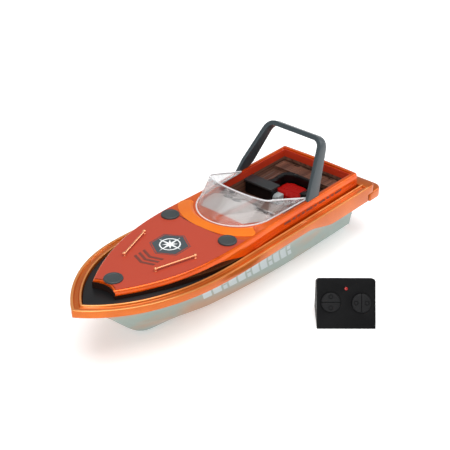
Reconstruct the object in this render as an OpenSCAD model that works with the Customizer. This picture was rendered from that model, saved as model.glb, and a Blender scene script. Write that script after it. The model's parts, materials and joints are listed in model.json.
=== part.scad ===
// Toy radio-controlled speedboat with its handset, 1 unit = 1 mm.
// +X points to the bow, +Y to port, +Z up. The origin is amidships on the
// underside of the keel, which is the surface that the boat rests on.

/* [Boat] */
// Length from the bow tip to the end of the stern platform
boat_length = 340; // [330:1:350]
// Greatest width over the gunwale
beam = 108; // [104:1:112]
// Height of the gunwale's top edge aft
gunwale_z = 54.4; // [53:0.1:56]
// How much the gunwale rises towards the bow
sheer_rise = 3.8; // [2:0.1:5]
// Wall of the moulded plastic shells
wall = 1.6; // [1.2:0.1:2]
// Width of the rail from its outer edge to the inner lip
rail_w = 8.6; // [7:0.1:10]

/* [Hull] */
// Half width of the flat keel that the boat stands on
keel_half = 12; // [8:0.5:14]
// Half width of the hull at the chine
chine_half = 32; // [30:0.5:33]
// Height of the chine above the keel
chine_z = 5.6; // [4:0.1:7]
// Position of the transom
transom_x = -150; // [-152:0.5:-148]

/* [Coachroof] */
// Half width of the raised deck at its widest
roof_half = 43.6; // [42:0.1:44]
// Height of the raised deck's top at the cockpit
roof_z = 67; // [66:0.1:68]
// How much lower the raised deck is at its front
roof_fall = 2.4; // [1:0.1:3]
// Front edge of the raised deck
roof_front = 136; // [130:1:138]
// Diameter of the three rubber deck plugs
plug_d = 16; // [14:0.5:17]

/* [Cockpit] */
// Aft end of the cockpit well
well_aft = -139; // [-140:0.5:-138]
// Front end of the cockpit well
well_front = -30; // [-36:0.5:-24]
// Half width of the cockpit well
well_half = 39; // [37:0.5:39.5]
// Height of the cockpit sole
sole_z = 44.2; // [43:0.1:46]

/* [Roll arch] */
// Height of the arch above the floor
arch_z = 111.6; // [105:0.2:116]
// Half width of the arch at its top corners
arch_top_half = 28; // [24:0.5:31]

/* [Drive] */
// Distance from the centreline to each propeller shaft
shaft_y = 17; // [15:0.5:19]
// Height of the propeller shafts
shaft_z = 14; // [13.5:0.5:16]
// Propeller diameter
prop_d = 22; // [18:0.5:23]
// Propeller shaft diameter
shaft_d = 2; // [1.5:0.1:2.4]
// Radial running clearance of shafts and pins
running_gap = 0.05; // [0.02:0.01:0.08]

/* [Handset] */
// Width of the handset
pad_w = 49; // [47:0.5:54]
// Length of its sloping face
pad_face = 42; // [40:0.5:46]
// Angle that the face leans back from upright
pad_lean = 31; // [25:1:35]
// Depth of its base
pad_depth = 34; // [33:0.5:38]
// Direction that the handset faces, turned about Z
pad_turn = 131; // [90:1:180]

/* [Hidden] */
bow_x = boat_length / 2;
half_beam = beam / 2;
taper_x = 34;
nose_mitre = 1.3;
ring_start = -146;
floor_drop = 4;
tray_drop = 1.2;
seat_drop = 6;
skirt_drop = 14.6;
platform_x = -boat_length / 2;
roof_aft = well_aft - 3;
arch_foot_x = -78;
arch_lean = 0.66;
arch_foot_half = 40.5;
arch_foot_z = roof_z;
board_z = 12;
board_posts_x = [4, 36];
hinge_x = -134.5;
hinge_z = 53;
hinge_pin_r = 0.75;
hatch_z = hinge_z + 0.8;
cell_r = 7.2;
cell_z = 33.5;
pad_at = [-17.6, 126.3, 0];
button_r = 8;
button_travel = 0.8;
eps = 0.01;
charge_at = [0, 26, 31.4];
plug_places = [[125, 0], [25.3, 32.4], [25.3, -32.4]];
rail_ends = [[[95.3, 17.6], [60.8, 28.8]], [[95.3, -17.6], [60.8, -28.8]]];

// ---- curves that the whole boat shares ----

function ease(t) = let (u = min(1, max(0, t))) u * u * (3 - 2 * u);

// Height of the gunwale's top edge at x
function sheer(x) = gunwale_z + sheer_rise * ease((x - 20) / 100);

// A plan outline parallel to the gunwale and d inside it: its nose and its half width at x
function nose(d) = bow_x - nose_mitre * d;
function half_width(x, d) =
    let (u = max(0, (x - taper_x) / (nose(d) - taper_x)))
    (half_beam - d) * pow(max(0, 1 - pow(u, 3)), 0.9);

// The outline's point at t, from 0 at the stern to 1 at the bow, with stations closer forward
function outline_x(t, d) = ring_start + (1 - pow(1 - t, 1.5)) * (nose(d) - ring_start);

// Half width and top of the raised deck
function roof_w(x) = x > 20
    ? roof_half * (1 - pow((x - 20) / 132, 2.4))
    : roof_half - 1.6 * ease((20 - x) / 60);
function roof_top(x) = roof_z - roof_fall * ease((x - 6) / (roof_front - 6));
function roof_base(x) = sheer(x) - floor_drop + 0.1 + (floor_drop - tray_drop) * ease((x - 14.3) / 4);

// The skirt under the gunwale is deep aft and shallow forward
function skirt(x) = 6.6 + (skirt_drop - 6.6) * ease((-56 - x) / 40);

// Keel, chine and topside of the hull
function keel_line(x) = lookup(x, [[transom_x, 0], [92, 0], [101, 2], [110, 9], [134, 33], [152, 46], [164, 51]]);
function keel_flat(x) = lookup(x, [[transom_x, keel_half], [30, keel_half], [92, 4], [112, 0.8], [164, 0.5]]);
function chine_y(x) = max(1, chine_half * (1 - pow(max(0, (x + 100) / 245), 2.2)));
function chine_h(x) = max(keel_line(x) + 0.2, lookup(x, [[40, chine_z], [80, 10], [110, 20], [134, 38], [164, 51.4]]));
function topside_y(x) = max(1.4, half_width(x, 4));
function topside_h(x) = sheer(x) - 7;

// ---- general shapes ----

// How much a ring turns anticlockwise about the way to the next ring
function mid(ring) = [for (k = [0:2]) (min([for (p = ring) p[k]]) + max([for (p = ring) p[k]])) / 2];
function turning(ring, next, j = 0) = j == len(ring) ? 0
    : cross(ring[j] - mid(ring), ring[(j + 1) % len(ring)] - mid(ring)) * (mid(next) - mid(ring)) + turning(ring, next, j + 1);

// A closed skin over rings that all have the same number of points
module loft(rings) {
    n = len(rings[0]);
    last = len(rings) - 1;
    skin = [for (i = [0:last - 1]) for (j = [0:n - 1])
        let (a = i * n + j, b = i * n + (j + 1) % n)
        each [[a, a + n, b], [b, a + n, b + n]]];
    first_cap = [for (j = [0:n - 1]) [j, (j + 1) % n, (last + 1) * n]];
    last_cap = [for (j = [0:n - 1]) [last * n + (j + 1) % n, last * n + j, (last + 1) * n + 1]];
    faces = concat(skin, first_cap, last_cap);
    outward = turning(rings[0], rings[1]) > 0;
    polyhedron(
        points = concat([for (r = rings) each r], [mid(rings[0]), mid(rings[last])]),
        faces = outward ? faces : [for (f = faces) [f[2], f[1], f[0]]]
    );
}

// A profile of [distance in from the gunwale, height over the sheer] swept round the whole deck
module deck_ring(profile_at, steps) {
    stations = concat([for (i = [0:steps]) [i / steps, 1]], [for (i = [1:steps]) [1 - i / steps, -1]]);
    loft([for (s = stations)
        let (x0 = outline_x(s[0], 0))
        [for (p = profile_at(x0))
            let (x = outline_x(s[0], p[0]))
            [x, s[1] * half_width(x, p[0]), sheer(x) + p[1]]]]);
}

// A round tube that follows a route
module tube(route, r, sides = 8) {
    last = len(route) - 1;
    loft([for (i = [0:last])
        let (
            dir = route[min(last, i + 1)] - route[max(0, i - 1)],
            t = dir / norm(dir),
            side = cross(t, abs(t[2]) > 0.9 ? [1, 0, 0] : [0, 0, 1]),
            u = side / norm(side),
            v = cross(u, t)
        )
        [for (k = [0:sides - 1]) route[i] + r * (cos(360 * k / sides) * u + sin(360 * k / sides) * v)]]);
}

module x_cylinder(x0, x1, r) {
    translate([x0, 0, 0]) rotate([0, 90, 0]) cylinder(r = r, h = x1 - x0, $fn = 48);
}

module x_tube(x0, x1, r, bore) {
    difference() {
        x_cylinder(x0, x1, r);
        x_cylinder(x0 - 1, x1 + 1, bore);
    }
}

module box(lo, hi) {
    translate(lo) cube(hi - lo);
}

module on_shaft(side) {
    translate([0, side * shaft_y, shaft_z]) children();
}

// ---- hull ----

function hull_ring(x, t, lift) =
    let (
        half = [
            [max(0.3, keel_flat(x) - 0.4 * t), keel_line(x) + t],
            [max(0.5, chine_y(x) - t), chine_h(x) + 0.9 * t],
            [max(0.6, chine_y(x) + 0.2 * (topside_y(x) - chine_y(x)) - t), chine_h(x) + 0.55 * (topside_h(x) - chine_h(x))],
            [max(0.8, topside_y(x) - t), topside_h(x) + lift]
        ]
    )
    concat(
        [for (i = [3:-1:0]) [x, -half[i][0], half[i][1]]],
        [for (i = [0:3]) [x, half[i][0], half[i][1]]]
    );

module hull_tub() color("#9fb0ae") {
    stations = [transom_x, -100, -60, -20, 10, 30, 45, 60, 75, 88, 96, 102, 108, 114, 122, 130, 138, 146, 155, 164];
    difference() {
        loft([for (x = stations) hull_ring(x, 0, 0)]);
        loft([for (x = concat([transom_x + wall], [for (s = stations) if (s > transom_x && s < 155) s])) hull_ring(x, wall, 2)]);
        for (side = [1, -1]) {
            on_shaft(side) x_cylinder(transom_x - 1, transom_x + 4, 2.2);
            translate([-30, side * 22, -1]) cylinder(r = 1.25, h = 10, $fn = 32);
        }
        box([transom_x - 1, -3.6, 25.4], [transom_x + 4, 3.6, 28.6]);
        translate(charge_at) x_cylinder(transom_x - 1, transom_x + 4, 3.6);
    }
    for (x = board_posts_x, y = [-10, 10]) difference() {
        hull() {
            translate([x, y, wall - 0.3]) cylinder(r = 3.4, h = 1, $fn = 32);
            translate([x, y, board_z - 1]) cylinder(r = 2.3, h = 1, $fn = 32);
        }
        translate([x, y, 5]) cylinder(r = 0.9, h = 10, $fn = 24);
    }
    // Knees that stiffen the transom beside the shafts, and the engine bed's two end stops
    for (side = [1, -1]) {
        hull() {
            box([transom_x + 1, side * 7 - 0.8, wall - 0.3], [transom_x + 12, side * 7 + 0.8, wall + 1]);
            box([transom_x + 1, side * 7 - 0.8, wall], [transom_x + 2, side * 7 + 0.8, 18]);
        }
        hull() {
            box([-74.5, side * 8 - 2, wall - 0.3], [-71, side * 8 + 2, wall + 1]);
            box([-74.5, side * 8 - 1.4, wall], [-73.4, side * 8 + 1.4, 5]);
        }
    }
}

function gasket_profile(x) = [[4.2, -7], [4.2, -6], [6.8, -6], [6.8, -7]];

module hull_gasket() color("#202020") deck_ring(function (x) gasket_profile(x), 26);

// ---- deck ----

function rail_profile(x) = [
    [0, -skirt(x)], [0, -0.9], [0.9, 0], [2.1, 0], [2.9, -1.4], [rail_w - 2.6, -1.4],
    [rail_w - 1.8, 0.3], [rail_w, 0.3], [rail_w + 0.5, -5.4], [rail_w + 3.2, -5.4],
    [rail_w + 3.2, -seat_drop], [2.9, -seat_drop], [2.9, -skirt(x)]
];

// One tier of the stern platform, with round aft corners
module stern_tier(aft, front, r, low, high) {
    hull() {
        for (side = [1, -1]) translate([aft + r, side * (half_beam - r), low]) cylinder(r = r, h = high - low, $fn = 48);
        box([front - 1, -half_beam, low], [front, half_beam, high]);
    }
}

module deck_moulding() color("#e0641c") {
    side_deck_top = gunwale_z - floor_drop;
    deck_ring(function (x) rail_profile(x), 30);
    stern_tier(platform_x, transom_x - 0.3, 9, 37.6, 47);
    difference() {
        stern_tier(-158, -145.5, 7, 46.6, gunwale_z);
        box([transom_x - 0.3, -50.5, 40], [-140, 50.5, 48.6]);
    }
    difference() {
        box([-145.6, -half_beam + rail_w + 0.3, gunwale_z - seat_drop], [14, half_beam - rail_w - 0.3, side_deck_top]);
        box([well_aft - 0.1, -well_half - 0.1, 40], [well_front + 0.1, well_half + 0.1, 60]);
        box([well_front - 1, -34.2, 40], [-3.6, 34.2, 60]);
    }
    // Snap lugs under the side decks
    for (side = [1, -1], x = [-110, -60, -15]) hull() {
        box([x - 4, side * 43 - 1.2, 45], [x + 4, side * 43 + 1.2, 49]);
        box([x - 4, side * 42.6 - 2, 45], [x + 4, side * 42.6 + 2, 46]);
    }
}

module foredeck_tray() color("#26221f") {
    difference() {
        loft([for (i = [0:22])
            let (x = 19 + (1 - pow(1 - i / 22, 1.6)) * (nose(rail_w + 0.9) - 0.6 - 19),
                 y = max(0.4, half_width(x, rail_w + 0.9)), z = sheer(x) - tray_drop, e = y - min(2, 0.45 * y))
            [[x, -y, z], [x, -y, z - 4.1], [x, -e, z - 4.1], [x, -e, z - 1.3],
             [x, e, z - 1.3], [x, e, z - 4.1], [x, y, z - 4.1], [x, y, z]]]);
        for (p = plug_places) translate([p[0], p[1], 40]) cylinder(r = 1.3, h = 30, $fn = 32);
    }
    for (p = plug_places) difference() {
        translate([p[0], p[1], sheer(p[0]) - 10.4]) cylinder(r = 3.4, h = 8.2, $fn = 32);
        translate([p[0], p[1], 36]) cylinder(r = 1.3, h = 30, $fn = 32);
    }
}

// ---- coachroof ----

roof_crown = 0.7;

// One section of the raised deck, its front edge drawn back in the middle
function roof_ring(x, inset) =
    let (
        w = roof_w(x) - inset,
        z = roof_top(x) - inset,
        back = 3.5 * ease((x - 118) / 18),
        half = concat(
            [[w + 1.2, roof_base(x) - 1.2 * inset], [w + 1.2, z - 3.8], [w + 0.3, z - 0.7], [w - 0.8, z]],
            [for (f = [0.75, 0.5, 0.25]) [f * w, z + roof_crown * (1 - f * f)]]
        ),
        line = concat(half, [[0, z + roof_crown]], [for (i = [len(half) - 1:-1:0]) [-half[i][0], half[i][1]]])
    )
    [for (p = line) [x - back * (1 - pow(min(1, abs(p[0]) / w), 2)), p[0], p[1]]];

module well_plan(gap = 0) {
    translate([well_aft - gap, -well_half - gap]) square([well_front - well_aft - 10 + gap, 2 * (well_half + gap)]);
    translate([well_front - 12, -34]) square([14, 68]);
    translate([-28, 0]) scale(1) intersection() {
        circle(r = 34, $fn = 72);
        translate([0, -34]) square([24, 68]);
    }
}

module coachroof() color("#d8481c") {
    stations = [roof_aft, -90, -60, -30, 0, 14.3, 18.4, 35, 50, 65, 80, 92, 102, 111, 119, 125, 130, roof_front];
    difference() {
        loft([for (x = stations) roof_ring(x, 0)]);
        loft([for (x = concat([roof_aft + wall], [for (s = stations) if (s > roof_aft && s < 130) s], [roof_front - wall])) roof_ring(x, wall)]);
        translate([0, 0, 40]) linear_extrude(40) well_plan();
        for (p = plug_places) translate([p[0], p[1], 40]) cylinder(r = 6.2, h = 40, $fn = 48);
        for (side = [1, -1]) box([arch_foot_x - 4, side * arch_foot_half - 0.8, 62], [arch_foot_x + 4, side * arch_foot_half + 0.8, 70]);
    }
    difference() {
        for (side = [1, -1]) box([roof_aft + 1, side * (well_half + 1.5) - 1.5, 52], [well_front - 5, side * (well_half + 1.5) + 1.5, roof_z - 1]);
        for (side = [1, -1]) box([arch_foot_x - 4, side * arch_foot_half - 0.8, 62], [arch_foot_x + 4, side * arch_foot_half + 0.8, 70]);
    }
    for (p = plug_places) translate([p[0], p[1], 0]) difference() {
        translate([0, 0, roof_base(p[0])]) cylinder(r = 7.4, h = roof_top(p[0]) - 0.8 - roof_base(p[0]), $fn = 48);
        translate([0, 0, roof_base(p[0]) + 1.5]) cylinder(r = 6.2, h = 30, $fn = 48);
        translate([0, 0, 40]) cylinder(r = 1.5, h = 30, $fn = 32);
    }
}

module deck_decal() color("#c4503c") {
    stations = [for (x = [14:10:124]) x];
    difference() {
        loft([for (x = concat(stations, [132]))
            let (w = roof_w(x) - 1.2, z = roof_top(x) + 0.06, back = 3.5 * ease((x - 118) / 18), bend = 5 * ease((34 - x) / 20),
                 line = [for (f = [-1, -0.6, -0.3, 0, 0.3, 0.6, 1]) [x - back * (1 - f * f) + bend * (1 - f * f), f * w, z + roof_crown * (1 - f * f)]])
            concat(line, [for (i = [6:-1:0]) line[i] + [0, 0, 0.25]])]);
        for (p = plug_places) translate([p[0], p[1], 50]) cylinder(r = plug_d / 2 + 0.3, h = 30, $fn = 48);
    }
}

module deck_badge() color("#3a4346") {
    translate([60, 0, roof_top(60) + roof_crown + 0.2]) rotate([0, 1.54, 0]) cylinder(r = 17.4, h = 0.5, $fn = 48);
}

module deck_plugs() color("#2a302e") {
    for (p = plug_places) translate([p[0], p[1], roof_top(p[0])]) {
        translate([0, 0, 0.8]) cylinder(r1 = plug_d / 2, r2 = plug_d / 2 - 0.6, h = 1.1, $fn = 48);
        translate([0, 0, -3.4]) cylinder(r = 6.1, h = 4.3, $fn = 48);
    }
}

module deck_screws() color("#b8b8b8") {
    for (p = plug_places) translate([p[0], p[1], roof_base(p[0]) + 1.5]) {
        cylinder(r = 2.7, h = 1.8, $fn = 32);
        translate([0, 0, -9]) cylinder(r = 1.3, h = 9.5, $fn = 32);
    }
}

module grab_rails() color("#f0a06a") {
    for (ends = rail_ends) {
        z = [for (e = ends) roof_top(e[0]) + 2.6];
        tube([[ends[0][0], ends[0][1], z[0]], [ends[1][0], ends[1][1], z[1]]], 0.9, 12);
        for (k = [0, 1]) translate([ends[k][0], ends[k][1], z[k]]) {
            sphere(r = 1.7, $fn = 24);
            translate([0, 0, -2.5]) cylinder(r = 1, h = 2.5, $fn = 24);
        }
    }
}

// ---- windscreen ----

// Plan of the screen's foot and of its top edge: u runs from -1 starboard aft to 1 port aft
function screen_foot(u) = let (a = abs(u)) a < 0.6
    ? [11.2 - 37.2 * (1 - cos(a * 150)), sign(u) * 36.6 * sin(a * 150)]
    : [-26 - 46 * (a - 0.6) / 0.4, sign(u) * (36.6 + 1.6 * (a - 0.6) / 0.4)];
function screen_top(u) = let (a = abs(u)) a < 0.6
    ? [-21 - 8 * pow(a / 0.6, 2), sign(u) * 35.2 * sin(a * 150)]
    : [-29 - 44 * (a - 0.6) / 0.4, sign(u) * (35.2 + 2.6 * (a - 0.6) / 0.4)];
function screen_height(u) = let (a = abs(u)) a < 0.6 ? 17 : 17 - 15.6 * (a - 0.6) / 0.4;

module windscreen() color("#d8dde0", 0.4) {
    n = 36;
    loft([for (i = [0:n])
        let (u = -1 + 2 * i / n, f = screen_foot(u), t = screen_top(u), h = screen_height(u), k = 1 - 1.4 / 36)
        [
            [f[0], f[1], roof_z], [t[0], t[1], roof_z + h],
            [t[0] - 1.2, t[1] * k, roof_z + h - 0.3], [f[0] - 1.8, f[1] * k, roof_z]
        ]]);
}

// ---- cockpit ----

liner_t = 1.2;
bay_front = -121.5;

module cockpit_liner() color("#7a3a22") {
    lo = [well_aft + 0.2, -well_half + 0.2, sole_z - liner_t];
    hi = [well_front - 10.2, well_half - 0.2, roof_z - 1];
    difference() {
        box(lo, hi);
        box([lo[0] + liner_t, lo[1] + liner_t, sole_z], [hi[0] + 1, hi[1] - liner_t, roof_z + 1]);
        box([lo[0] + liner_t, -34, sole_z - 5], [bay_front - liner_t, 34, sole_z + 1]);
    }
    box([bay_front - liner_t, lo[1] + 1, sole_z - 0.5], [bay_front, hi[1] - 1, hatch_z - 0.1]);
    for (side = [1, -1]) {
        box([bay_front - 0.5, min(side * 22, side * 38), sole_z - 0.5], [-92, max(side * 22, side * 38), 52]);
        difference() {
            union() {
                box([lo[0] + 1, side * 20 - 3, hinge_z - 1.6], [hinge_x, side * 20 + 3, hinge_z + 1.2]);
                translate([hinge_x, side * 20 + 3, hinge_z]) rotate([90, 0, 0]) cylinder(r = 1.6, h = 6, $fn = 32);
            }
            translate([hinge_x, side * 20 + 5, hinge_z]) rotate([90, 0, 0]) cylinder(r = hinge_pin_r, h = 10, $fn = 32);
        }
    }
}

module battery_hatch() color("#8a5238") {
    y_end = well_half - 1.8;
    difference() {
        union() {
            box([hinge_x - 1.1, -y_end, hatch_z], [bay_front - 0.3, y_end, hatch_z + 1.6]);
            for (side = [1, -1]) translate([hinge_x, side * 13 + 3, hinge_z]) rotate([90, 0, 0]) cylinder(r = 1.6, h = 6, $fn = 32);
        }
        for (side = [1, -1]) {
            box([hinge_x - 3, side * 20 - 3.4, hinge_z - 3], [hinge_x + 2, side * 20 + 3.4, hinge_z + 4]);
            translate([hinge_x, side * 13 + 4, hinge_z]) rotate([90, 0, 0]) cylinder(r = hinge_pin_r + running_gap, h = 8, $fn = 32);
        }
        translate([bay_front - 0.3, 0, hatch_z - 1]) cylinder(r = 4, h = 4, $fn = 40);
    }
}

module hatch_hinge_pin() color("#c0c0c0") {
    translate([hinge_x, 24, hinge_z]) rotate([90, 0, 0]) cylinder(r = hinge_pin_r, h = 48, $fn = 32);
}

module dash_panel() color("#6e7877") {
    difference() {
        translate([0, 0, sole_z]) linear_extrude(roof_z - 2.2 - sole_z) intersection() {
            translate([-46, -33.4]) square([42, 66.8]);
            translate([-28, 0]) circle(r = 33.6, $fn = 72);
        }
        translate([-50, -40, roof_z - 9]) rotate([0, -20, 0]) cube([60, 80, 30]);
        box([-50, -30, sole_z - 1], [-14, 30, roof_z - 12]);
        box([-50, -50, sole_z - 1], [-31, 50, roof_z - 12]);
        translate([0, 0, sole_z - 1]) linear_extrude(7) difference() {
            translate([-60, -60]) square([120, 120]);
            translate([-60, -30]) square([56, 60]);
        }
    }
}

module helm_seat() color("#141414") {
    box([-89, -37, sole_z], [-79, -6, 57]);
}

module helm_seat_cap() color("#7c8082") {
    difference() {
        box([-90.5, -37.4, 57], [-77.5, -5, 59.2]);
        for (x = [-90.5, -77.5]) translate([x, -21, 59.6]) rotate([0, 45, 0]) cube([1.4, 40, 1.4], center = true);
    }
}

module side_locker() color("#9a9f9f") {
    difference() {
        box([-88, -5.6, sole_z], [-80, 1.4, 53]);
        translate([-80, -7, 53]) rotate([0, 45, 0]) cube([3, 12, 3], center = true);
    }
}

module bench_plan(half, aft, r) {
    translate([aft + r, -half]) square([-91 - aft - r, 2 * half]);
    translate([aft, -half + r]) square([-91 - aft, 2 * (half - r)]);
    for (side = [1, -1]) translate([aft + r, side * (half - r)]) circle(r = r, $fn = 48);
}

module bench_back() color("#161616") {
    difference() {
        translate([0, 0, sole_z]) linear_extrude(58.4 - sole_z) bench_plan(21.5, -121.2, 13);
        translate([0, 0, sole_z - 1]) linear_extrude(30) intersection() {
            translate([0, 0]) bench_plan(16.2, -116, 9);
            translate([-130, -40]) square([60, 80]);
        }
        box([-92, -16.2, 40], [-80, 16.2, 70]);
    }
}

module bench_cushion() color("#c4180c") {
    translate([0, 0, sole_z]) linear_extrude(6) intersection() {
        bench_plan(15.9, -115.6, 8.6);
        translate([-130, -40]) square([38.4, 80]);
    }
}

// ---- roll arch ----

function arch_point(side, k) = let (
    foot = [arch_foot_x, side * arch_foot_half, arch_foot_z],
    knee = [arch_foot_x - arch_lean * (arch_z - 9 - arch_foot_z), side * (arch_top_half + 3), arch_z - 9],
    top = [arch_foot_x - arch_lean * (arch_z - 2 - arch_foot_z), side * (arch_top_half - 5), arch_z - 2],
    corner = [arch_foot_x - arch_lean * (arch_z - 3 - arch_foot_z), side * (arch_top_half + 1.5), arch_z - 3]
) k < 4 ? foot + (knee - foot) * k / 4
  : let (t = (k - 4) / 5) (1 - t) * (1 - t) * knee + 2 * t * (1 - t) * corner + t * t * top;

module roll_arch() color("#5e6162") {
    path = concat([for (k = [0:9]) arch_point(1, k)], [for (k = [9:-1:0]) arch_point(-1, k)]);
    last = len(path) - 1;
    loft([for (i = [0:last])
        let (
            raw = path[min(last, i + 1)] - path[max(0, i - 1)],
            t = i == 0 || i == last ? [0, 0, i == 0 ? 1 : -1] : raw / norm(raw),
            f = i == 0 || i == last ? [1, 0, 0] : [0.9, 0, 0.43],
            n0 = cross(t, f),
            n = n0 / norm(n0),
            rise = (path[i][2] - arch_foot_z) / (arch_z - 2 - arch_foot_z),
            w = 8 - 3.6 * rise,
            h = 1.5 + 0.7 * rise
        )
        [path[i] + w * f - h * n, path[i] + w * f + h * n, path[i] - w * f + h * n, path[i] - w * f - h * n]]);
    for (side = [1, -1]) box([arch_foot_x - 3.9, side * arch_foot_half - 0.7, 63], [arch_foot_x + 3.9, side * arch_foot_half + 0.7, arch_foot_z + 1]);
}

// ---- drive ----

module stern_tubes() color("#c9a227") {
    for (side = [1, -1]) on_shaft(side) x_tube(-155, -117, 2.2, shaft_d / 2 + running_gap);
}

module prop_shaft(side) color("#c8c8c8") on_shaft(side) x_cylinder(-166.2, -107.2, shaft_d / 2);
module prop_shaft_port() prop_shaft(1);
module prop_shaft_stbd() prop_shaft(-1);

module propeller(side) color("#20282a") on_shaft(side) {
    difference() {
        union() {
            x_cylinder(-163.8, -156, 2.9);
            for (k = [0:2]) rotate([120 * k, 0, 0]) translate([-160, 0, prop_d / 2 - 4.6]) rotate([0, 0, side * 38])
                rotate([0, 90, 0]) cylinder(r = 4.6, h = 1.1, center = true, $fn = 40);
        }
        x_cylinder(-165, -155, shaft_d / 2);
    }
}
module propeller_port() propeller(1);
module propeller_stbd() propeller(-1);

module prop_nut(side) color("#d0b060") on_shaft(side) difference() {
    translate([-165.8, 0, 0]) rotate([0, 90, 0]) cylinder(r = 2.1, h = 1.9, $fn = 6);
    x_cylinder(-170, -160, shaft_d / 2);
}
module prop_nut_port() prop_nut(1);
module prop_nut_stbd() prop_nut(-1);

module coupling(side) color("#1c1c1c") on_shaft(side) x_tube(-113, -101, 2.7, shaft_d / 2);
module coupling_port() coupling(1);
module coupling_stbd() coupling(-1);

module flat_drum(x0, x1, r, flat) {
    intersection() {
        x_cylinder(x0, x1, r);
        box([x0 - 1, -r - 1, -flat], [x1 + 1, r + 1, flat]);
    }
}

module motor_cans() color("#b4b8ba") {
    for (side = [1, -1]) on_shaft(side) difference() {
        union() {
            flat_drum(-97, -72, 10, 7.5);
            x_cylinder(-99, -96, 3);
        }
        flat_drum(-96.2, -71, 9.2, 6.8);
        x_cylinder(-100, -90, shaft_d / 2 + running_gap);
    }
}

module motor_end_caps() color("#e4e4de") {
    for (side = [1, -1]) on_shaft(side) difference() {
        union() {
            flat_drum(-74, -72, 9.1, 6.7);
            flat_drum(-72, -69.6, 10, 7.5);
        }
        x_cylinder(-80, -60, shaft_d / 2 + running_gap);
    }
}

module motor_rotor(side) color("#8a5a3a") on_shaft(side) {
    x_cylinder(-106.8, -68.6, shaft_d / 2);
    x_cylinder(-93, -77, 6);
}
module motor_rotor_port() motor_rotor(1);
module motor_rotor_stbd() motor_rotor(-1);

module motor_cradle() color("#d8d8d0") difference() {
    union() {
        box([-94, -keel_half + 0.6, wall + 0.1], [-76, keel_half - 0.6, 5.8]);
        box([-94, -25.6, 5.7], [-76, 25.6, shaft_z - 7.5]);
        box([-90, -6.4, 6], [-80, 6.4, shaft_z + 7.5]);
    }
    for (side = [1, -1]) translate([-85, side * 3.4, 10]) cylinder(r = 1, h = 20, $fn = 24);
}

module motor_clamp() color("#d8d8d0") difference() {
    box([-90, -27, shaft_z + 7.5], [-80, 27, shaft_z + 9.1]);
    for (side = [1, -1]) translate([-85, side * 3.4, 10]) cylinder(r = 1.2, h = 20, $fn = 24);
}

module clamp_screws() color("#b8b8b8") for (side = [1, -1]) translate([-85, side * 3.4, 0]) {
    translate([0, 0, shaft_z + 9.1]) cylinder(r = 2.2, h = 1.4, $fn = 32);
    translate([0, 0, 12]) cylinder(r = 1, h = shaft_z + 9.1 - 12 + eps, $fn = 24);
}

// ---- power and control ----

module battery_tray() color("#3a3a3a") difference() {
    box([-137.4, -31, 25], [-120.6, 31, sole_z - liner_t]);
    box([-136.4, -29.8, 26.2], [-121.6, 29.8, 60]);
}

module battery_cell() color("#2c62a8") translate([-129, 25, cell_z]) rotate([90, 0, 0]) {
    cylinder(r = cell_r, h = 50, $fn = 64);
    translate([0, 0, -1.2]) cylinder(r = 2.6, h = 1.3, $fn = 32);
}

module receiver_board() color("#1f6b3c") difference() {
    box([0, -13.5, board_z], [40, 13.5, board_z + 1.4]);
    for (x = board_posts_x, y = [-10, 10]) translate([x, y, 0]) cylinder(r = 1.1, h = 30, $fn = 24);
}

module board_chips() color("#1a1a1a") {
    z = board_z + 1.4;
    box([8, -5, z], [16, 5, z + 1.6]);
    box([20, -3, z], [25, 3, z + 1.4]);
    translate([30, -2, z]) cylinder(r = 3, h = 7, $fn = 40);
    box([27, 5, z], [34, 9, z + 3]);
    box([10, -11.5, z], [20, -8, z + 5]);
}

module board_screws() color("#c0c0c0") for (x = board_posts_x, y = [-10, 10]) translate([x, y, 0]) {
    translate([0, 0, board_z + 1.4]) cylinder(r = 1.9, h = 1.2, $fn = 32);
    translate([0, 0, 6]) cylinder(r = 0.9, h = board_z + 1.5 - 6, $fn = 24);
}

module wiring_loom() color("#b02020") {
    for (side = [1, -1]) {
        tube([[-69.6, side * 17, 17], [-64, side * 17, 18], [-54, side * 15, 16], [-40, side * 12, 13],
              [-20, side * 9, 14], [-6, side * 8, 18], [6, side * 7, 19], [10.5, side * 6.8, 14.6]], 0.8);
    }
    tube([[-122, 20, 40], [-118.8, 20, 41.4], [-112, 16, 38], [-100, 6, 32], [-80, 2, 29], [-50, 0, 27],
          [-20, 0, 25], [4, 0, 23], [18.2, 0.5, 20], [18.2, 0.5, 13.4]], 0.9);
}

module switch_body() color("#262626") difference() {
    box([transom_x + wall, -7, 23], [-141.5, 7, 31]);
    box([transom_x + wall - 1, -5.2, 24.6], [-144, 5.2, 29.4]);
}

module switch_slider() color("#101010") {
    box([transom_x - 1.8, -3.2, 25.9], [transom_x + wall + 0.6, -0.4, 28.1]);
    box([transom_x + wall + 0.3, -4.6, 25], [-145.4, 1.2, 29]);
}

module charge_socket() color("#1c1c1c") translate(charge_at) {
    difference() {
        union() {
            x_cylinder(transom_x - 1.2, transom_x, 5.2);
            x_cylinder(transom_x, -141.5, 3.6);
        }
        x_cylinder(transom_x - 2, -143, 1.9);
    }
    x_cylinder(transom_x + 3, -142.5, 0.6);
}

module charge_cover() color("#303030") translate(charge_at) {
    x_cylinder(transom_x - 3, transom_x - 1.5, 5.4);
    x_cylinder(transom_x - 2.4, transom_x + 2, 1.6);
}

module water_contacts() color("#c9a227") for (side = [1, -1]) translate([-30, side * 22, 0]) {
    translate([0, 0, 1.7]) cylinder(r = 2.2, h = 1.6, $fn = 32);
    translate([0, 0, 2]) cylinder(r = 1.25, h = 7, $fn = 24);
}

// ---- handset ----

// Stands the handset where it belongs: its face's lower edge is on local Y = 0
module stand_pad() {
    translate(pad_at) rotate([0, 0, pad_turn]) children();
}

// Works on the sloping face: X across, Z up the face, Y into the case
module on_face() {
    stand_pad() rotate([-pad_lean, 0, 0]) children();
}

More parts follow.
